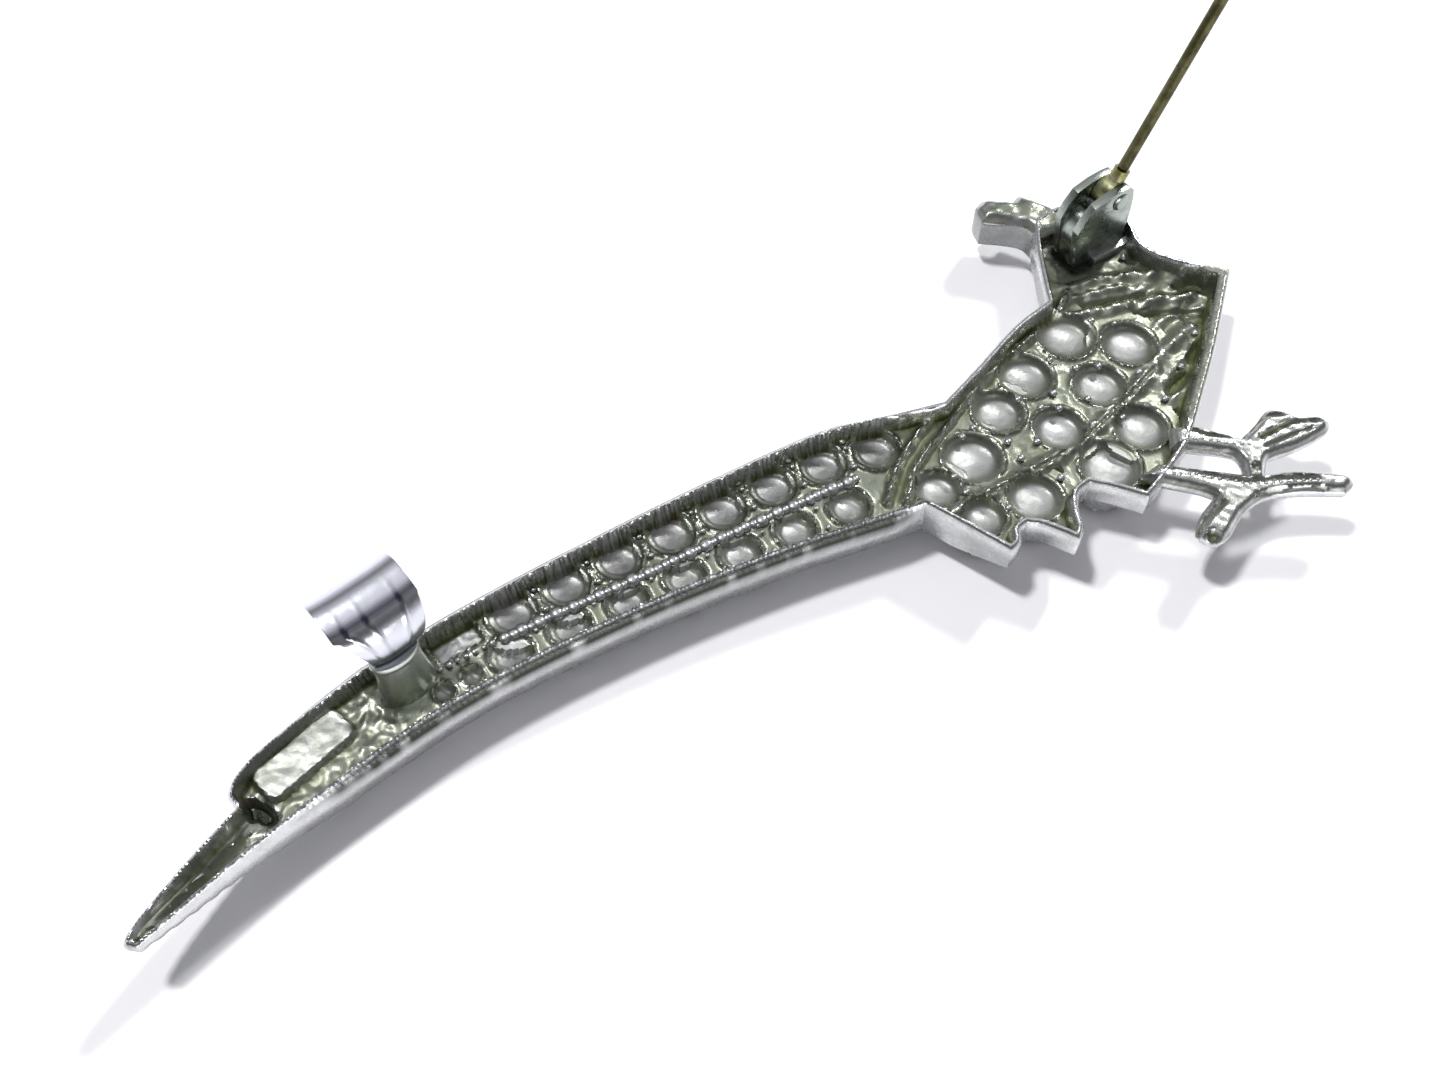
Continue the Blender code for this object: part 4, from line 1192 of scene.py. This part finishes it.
# The bracket's near-black foot colour is painted shadow on its lower half.
BRACKET = plate_finish("bracket_plate_painted_shade", (0.38, 0.42, 0.38), (0.035, 0.045, 0.03), 2.5, 7.5, 0.24)
POST = plate_finish("post_plate", (0.62, 0.65, 0.62), (0.14, 0.16, 0.08), 2.5, 4.6, 0.28)
STEM = wire_finish("dull_wire", (0.065, 0.06, 0.028), (0.17, 0.16, 0.08))
KNUCKLE = wire_finish("worn_brass", (0.26, 0.25, 0.10), (0.52, 0.52, 0.36), 0.8)
GLASS = glass_finish("clear_glass")
FOIL = foil_finish("silver_foil")


def make_casting():
    """The body, the head and both legs of the casting."""
    body = shell("cast_body", BODY_OUTLINE, back_relief, front_relief, casting_skirt)
    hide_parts("body_casting")
    dress(body, "casting", CAST)
    head = shell("cast_head", HEAD_OUTLINE, head_back, head_front, head_skirt, 0.14, (0.08, 0.2, 0.35))
    dress(head, "casting", CAST)
    for name, runs in (("upper_leg", UPPER_LEG), ("lower_leg", LOWER_LEG)):
        leg = shell("cast_" + name, runs, leg_back, leg_front, plain_skirt, 0.1, (0.05, 0.12, 0.2, 0.3))
        dress(leg, "casting", CAST)


# Rows of grains on the tail: points, grain radius.
GRAIN_LINES = (
    (((-12.6, 0.02), (-9.5, 0.2), (-5.0, 0.42), (0.0, 0.8), (5.0, 1.07), (8.8, 1.2)), 0.36),
    (((-16.8, -0.35), (-14.6, -0.1), (-12.8, 0.05)), 0.17),
)
# Single grains of the wing.
WING_GRAINS = (
    (23.2, 3.9), (20.0, 2.2), (17.3, 3.3), (22.0, 5.6), (24.3, 2.75), (25.6, 2.3), (22.1, 1.7),
    (20.9, 1.1), (21.8, 0.6), (23.7, 0.5), (27.1, 5.45), (17.9, -0.2), (19.4, -0.9), (15.7, 1.2),
    (23.0, -1.2), (18.0, -1.5), (13.9, -1.0), (14.0, -2.2), (19.3, -3.6), (15.6, -4.1), (16.6, 1.5),
    (29.7, 5.6), (31.2, 5.25), (33.2, 4.6), (31.7, 9.0), (29.5, 8.1), (27.5, 0.9), (24.8, -1.5),
    (27.8, -1.4), (30.0, 0.2), (32.2, 2.0),
)


def make_grains():
    """The round grains left between the cups and along the ridge of the tail."""
    places, sizes = [], []
    upper = [(place, size) for name, place, size in SEATS if name.startswith("tail_upper")]
    lower = [(place, size) for name, place, size in SEATS if name.startswith("tail_lower")]
    for row in (sorted(upper, key=lambda seat: seat[0][0]), sorted(lower, key=lambda seat: seat[0][0])):
        for (here, _), (after, _) in zip(row, row[1:]):
            middle = (here + after) / 2
            along = (after - here) / np.linalg.norm(after - here)
            side = np.array([-along[1], along[0]])
            for reach, size in ((1.12, 0.2), (0.62, 0.14), (-0.75, 0.17)):
                places.append(middle + side * reach)
                sizes.append(size)
    for line, size in GRAIN_LINES:
        for place in along_line(line, 0.5):
            places.append(place)
            sizes.append(size * (1 + 0.25 * math.sin(7.0 * place[0])))
    for x, y in WING_GRAINS:
        places.append(np.array((x, y)))
        sizes.append(0.24)
    heights = [(p[0], p[1], FLOOR + 0.16) for p in places]
    return dress(set_grains("cast_grains", heights, sizes, 0.55, CAST), "casting", CAST)


def make_leg_dots():
    """The beaded lines along both legs."""
    places = np.vstack([along_line(line, 0.42) for line in LEG_DOT_LINES])
    spots = [(x, y, RIM - 0.06) for x, y in places]
    return dress(set_grains("leg_dots", spots, [0.13] * len(spots), 0.8, CAST), "casting", CAST)


def make_bracket_front(finish):
    """The bracket's front between its ears, up to just below the closed stem, and its cast foot."""
    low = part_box("hinge_bracket")[0].z / MM
    outer = path([(-2.45, 0.05), (-2.68, 1.4), (-2.72, 2.6), (-2.35, 3.4), (-1.75, 3.74), (-1.25, 3.72)], 6)
    inner = path([(-2.1, 0.05), (-2.33, 1.4), (-2.36, 2.5), (-2.1, 3.1), (-1.7, 3.4), (-1.25, 3.42)], 6)
    stand = standing(HINGE_PLACE, low, HINGE_TURN)
    form = bmesh.new()
    sides = []
    for across in (-0.62, 0.62):
        loop = np.vstack([outer, inner[::-1]])
        sides.append([form.verts.new(stand @ Vector((x, across, z))) for x, z in loop])
    bridge(form, *sides)
    for side in sides:
        form.faces.new(side)
    bmesh.ops.triangulate(form, faces=[face for face in form.faces if len(face.verts) > 4])
    dress(finished("bracket_front", form), "plating", finish)

    form = bmesh.new()
    rows = []
    for shrink, level in ((0.0, 0.05), (0.0, 0.6), (0.05, 0.68), (0.13, 0.7)):
        ends, near, far = (-1.4 + shrink, 2.3 - shrink), -1.52 + shrink, -1.02
        rows.append([form.verts.new(stand @ Vector((x, y, level)))
                     for x, y in ((ends[0], near), (ends[1], near), (ends[1], far), (ends[0], far))])
    for lower, upper in zip(rows, rows[1:]):
        bridge(form, lower, upper)
    form.faces.new(rows[0])
    form.faces.new(rows[-1])
    dress(finished("bracket_foot", form), "casting", CAST)


def make_hinge():
    """The bracket, its rivet and the pin's knuckle, from the frame's own shapes."""
    bracket = rounded_copy("ear_bracket", "hinge_bracket", 0.09)
    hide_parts("hinge_bracket")
    dress(bracket, "plating", BRACKET)
    make_bracket_front(BRACKET)
    rivet = rounded_copy("ear_rivet", "hinge_rivet", 0.04)
    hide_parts("hinge_rivet")
    dress(rivet, "plating", BRACKET)
    knuckle = rounded_copy("rolled_knuckle", "pin_knuckle", 0.06)
    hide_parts("pin_knuckle")
    dress(knuckle, "knuckle", KNUCKLE, ride="knuckle")


make_casting()
make_grains()
make_leg_dots()
dress(make_stones(), "stone", GLASS, FOIL)
dress(make_baguette(), "stone", GLASS, FOIL)
dress(make_settings(), "casting", CAST)
dress(make_prongs(CAST), "casting", CAST)
make_post(POST)
make_hook(PLATE)
make_hinge()
make_stem(STEM)


# Stage, light and camera

def make_floor():
    form = bmesh.new()
    bmesh.ops.create_grid(form, x_segments=1, y_segments=1, size=1.5)
    bmesh.ops.translate(form, vec=(0, 0, -FLOOR_DROP * MM), verts=form.verts)
    mesh = bpy.data.meshes.new("floor")
    form.to_mesh(mesh)
    form.free()
    paper = Finish("white_paper", Base_Color=(0.93, 0.93, 0.95, 1.0), Roughness=0.9)
    paper.set("Specular IOR Level", 0.1)
    mesh.materials.append(paper.material)
    new_object("floor", mesh)


def look_matrix(place, target):
    """The placing of a lamp or camera that looks from a place at a target."""
    return Matrix.Translation(place) @ (target - place).to_track_quat("-Z", "Y").to_matrix().to_4x4()


def view_direction(yaw, elevation):
    """A direction from the brooch, with yaw counted from the camera's side, in degrees."""
    turn, lift = math.radians(CAMERA_YAW + yaw), math.radians(elevation)
    return Vector((math.sin(turn) * math.cos(lift), -math.cos(turn) * math.cos(lift), math.sin(lift)))


def add_panel(name, yaw, elevation, size, power, mirrored=True):
    light = bpy.data.lights.new(name, "AREA")
    light.shape = "RECTANGLE"
    light.size, light.size_y = size
    light.energy = power
    obj = new_object(name, light)
    obj.matrix_world = look_matrix(view_direction(yaw, elevation) * PANEL_DISTANCE, Vector((0, 0, 0.003)))
    obj.visible_glossy = mirrored


def make_world():
    """A room with a bright ceiling, pale low walls and dark upper walls, paler opposite the camera."""
    world = bpy.data.worlds.new("room")
    bpy.context.scene.world = world
    world.use_nodes = True
    made = Nodes(world.node_tree)
    towards = made.node("ShaderNodeTexCoord", out="Generated")

    def ramp_along(direction, *stops):
        share = made.node("ShaderNodeVectorMath", {"operation": "DOT_PRODUCT"}, {0: towards, 1: direction},
                          out="Value")
        return made.node("ShaderNodeValToRGB", {"stops": stops}, {0: share})

    def joined(way, first, second):
        return made.node("ShaderNodeMix", {"data_type": "RGBA", "blend_type": way},
                         {0: 1.0, 6: first, 7: second}, out=2)

    height = ramp_along((0.0, 0.0, 1.0),
                        (0.0, (0.80, 0.80, 0.86)), (0.18, (0.50, 0.50, 0.54)), (0.36, (0.20, 0.205, 0.21)),
                        (0.55, (0.15, 0.15, 0.155)), (0.80, (0.24, 0.245, 0.25)), (0.93, (0.38, 0.38, 0.40)),
                        (1.0, (0.70, 0.70, 0.75)))
    side = ramp_along(view_direction(0.0, 25.0),
                      (0.0, (1.0, 1.0, 1.0)), (0.55, (0.7, 0.7, 0.7)), (0.85, (0.45, 0.45, 0.45)))
    wall = ramp_along(view_direction(180.0, 58.0),
                      (0.0, (0.0, 0.0, 0.0)), (0.78, (0.0, 0.0, 0.0)), (0.93, (0.22, 0.22, 0.23)),
                      (1.0, (0.28, 0.28, 0.29)))
    room = joined("ADD", joined("MULTIPLY", height, side), wall)
    put(made.tree, made.tree.nodes["Background"].inputs["Color"], room)


def make_camera():
    camera = bpy.data.cameras.new("camera")
    camera.lens = CAMERA_LENS
    camera.sensor_width = 36.0
    camera.clip_start = 0.001
    obj = new_object("camera", camera)
    target = (ORIGIN + Vector((0, 0, RIM))) * MM
    place = target + view_direction(0.0, CAMERA_ELEVATION) * CAMERA_DISTANCE * MM
    obj.matrix_world = look_matrix(place, target)
    bpy.context.scene.camera = obj


make_floor()
make_world()
for name, yaw, elevation in (("key", 243.0, 69.0), ("second", 148.0, 39.4)):
    add_panel(name, yaw, elevation, (0.07, 0.07), 0.65)
    add_panel(name + "_soft", yaw, elevation, (0.07, 0.07), 1.75, mirrored=False)
add_panel("front", 20.0, 8.0, (0.5, 0.12), 1.0)
make_camera()
bpy.context.scene.view_settings.view_transform = "Standard"
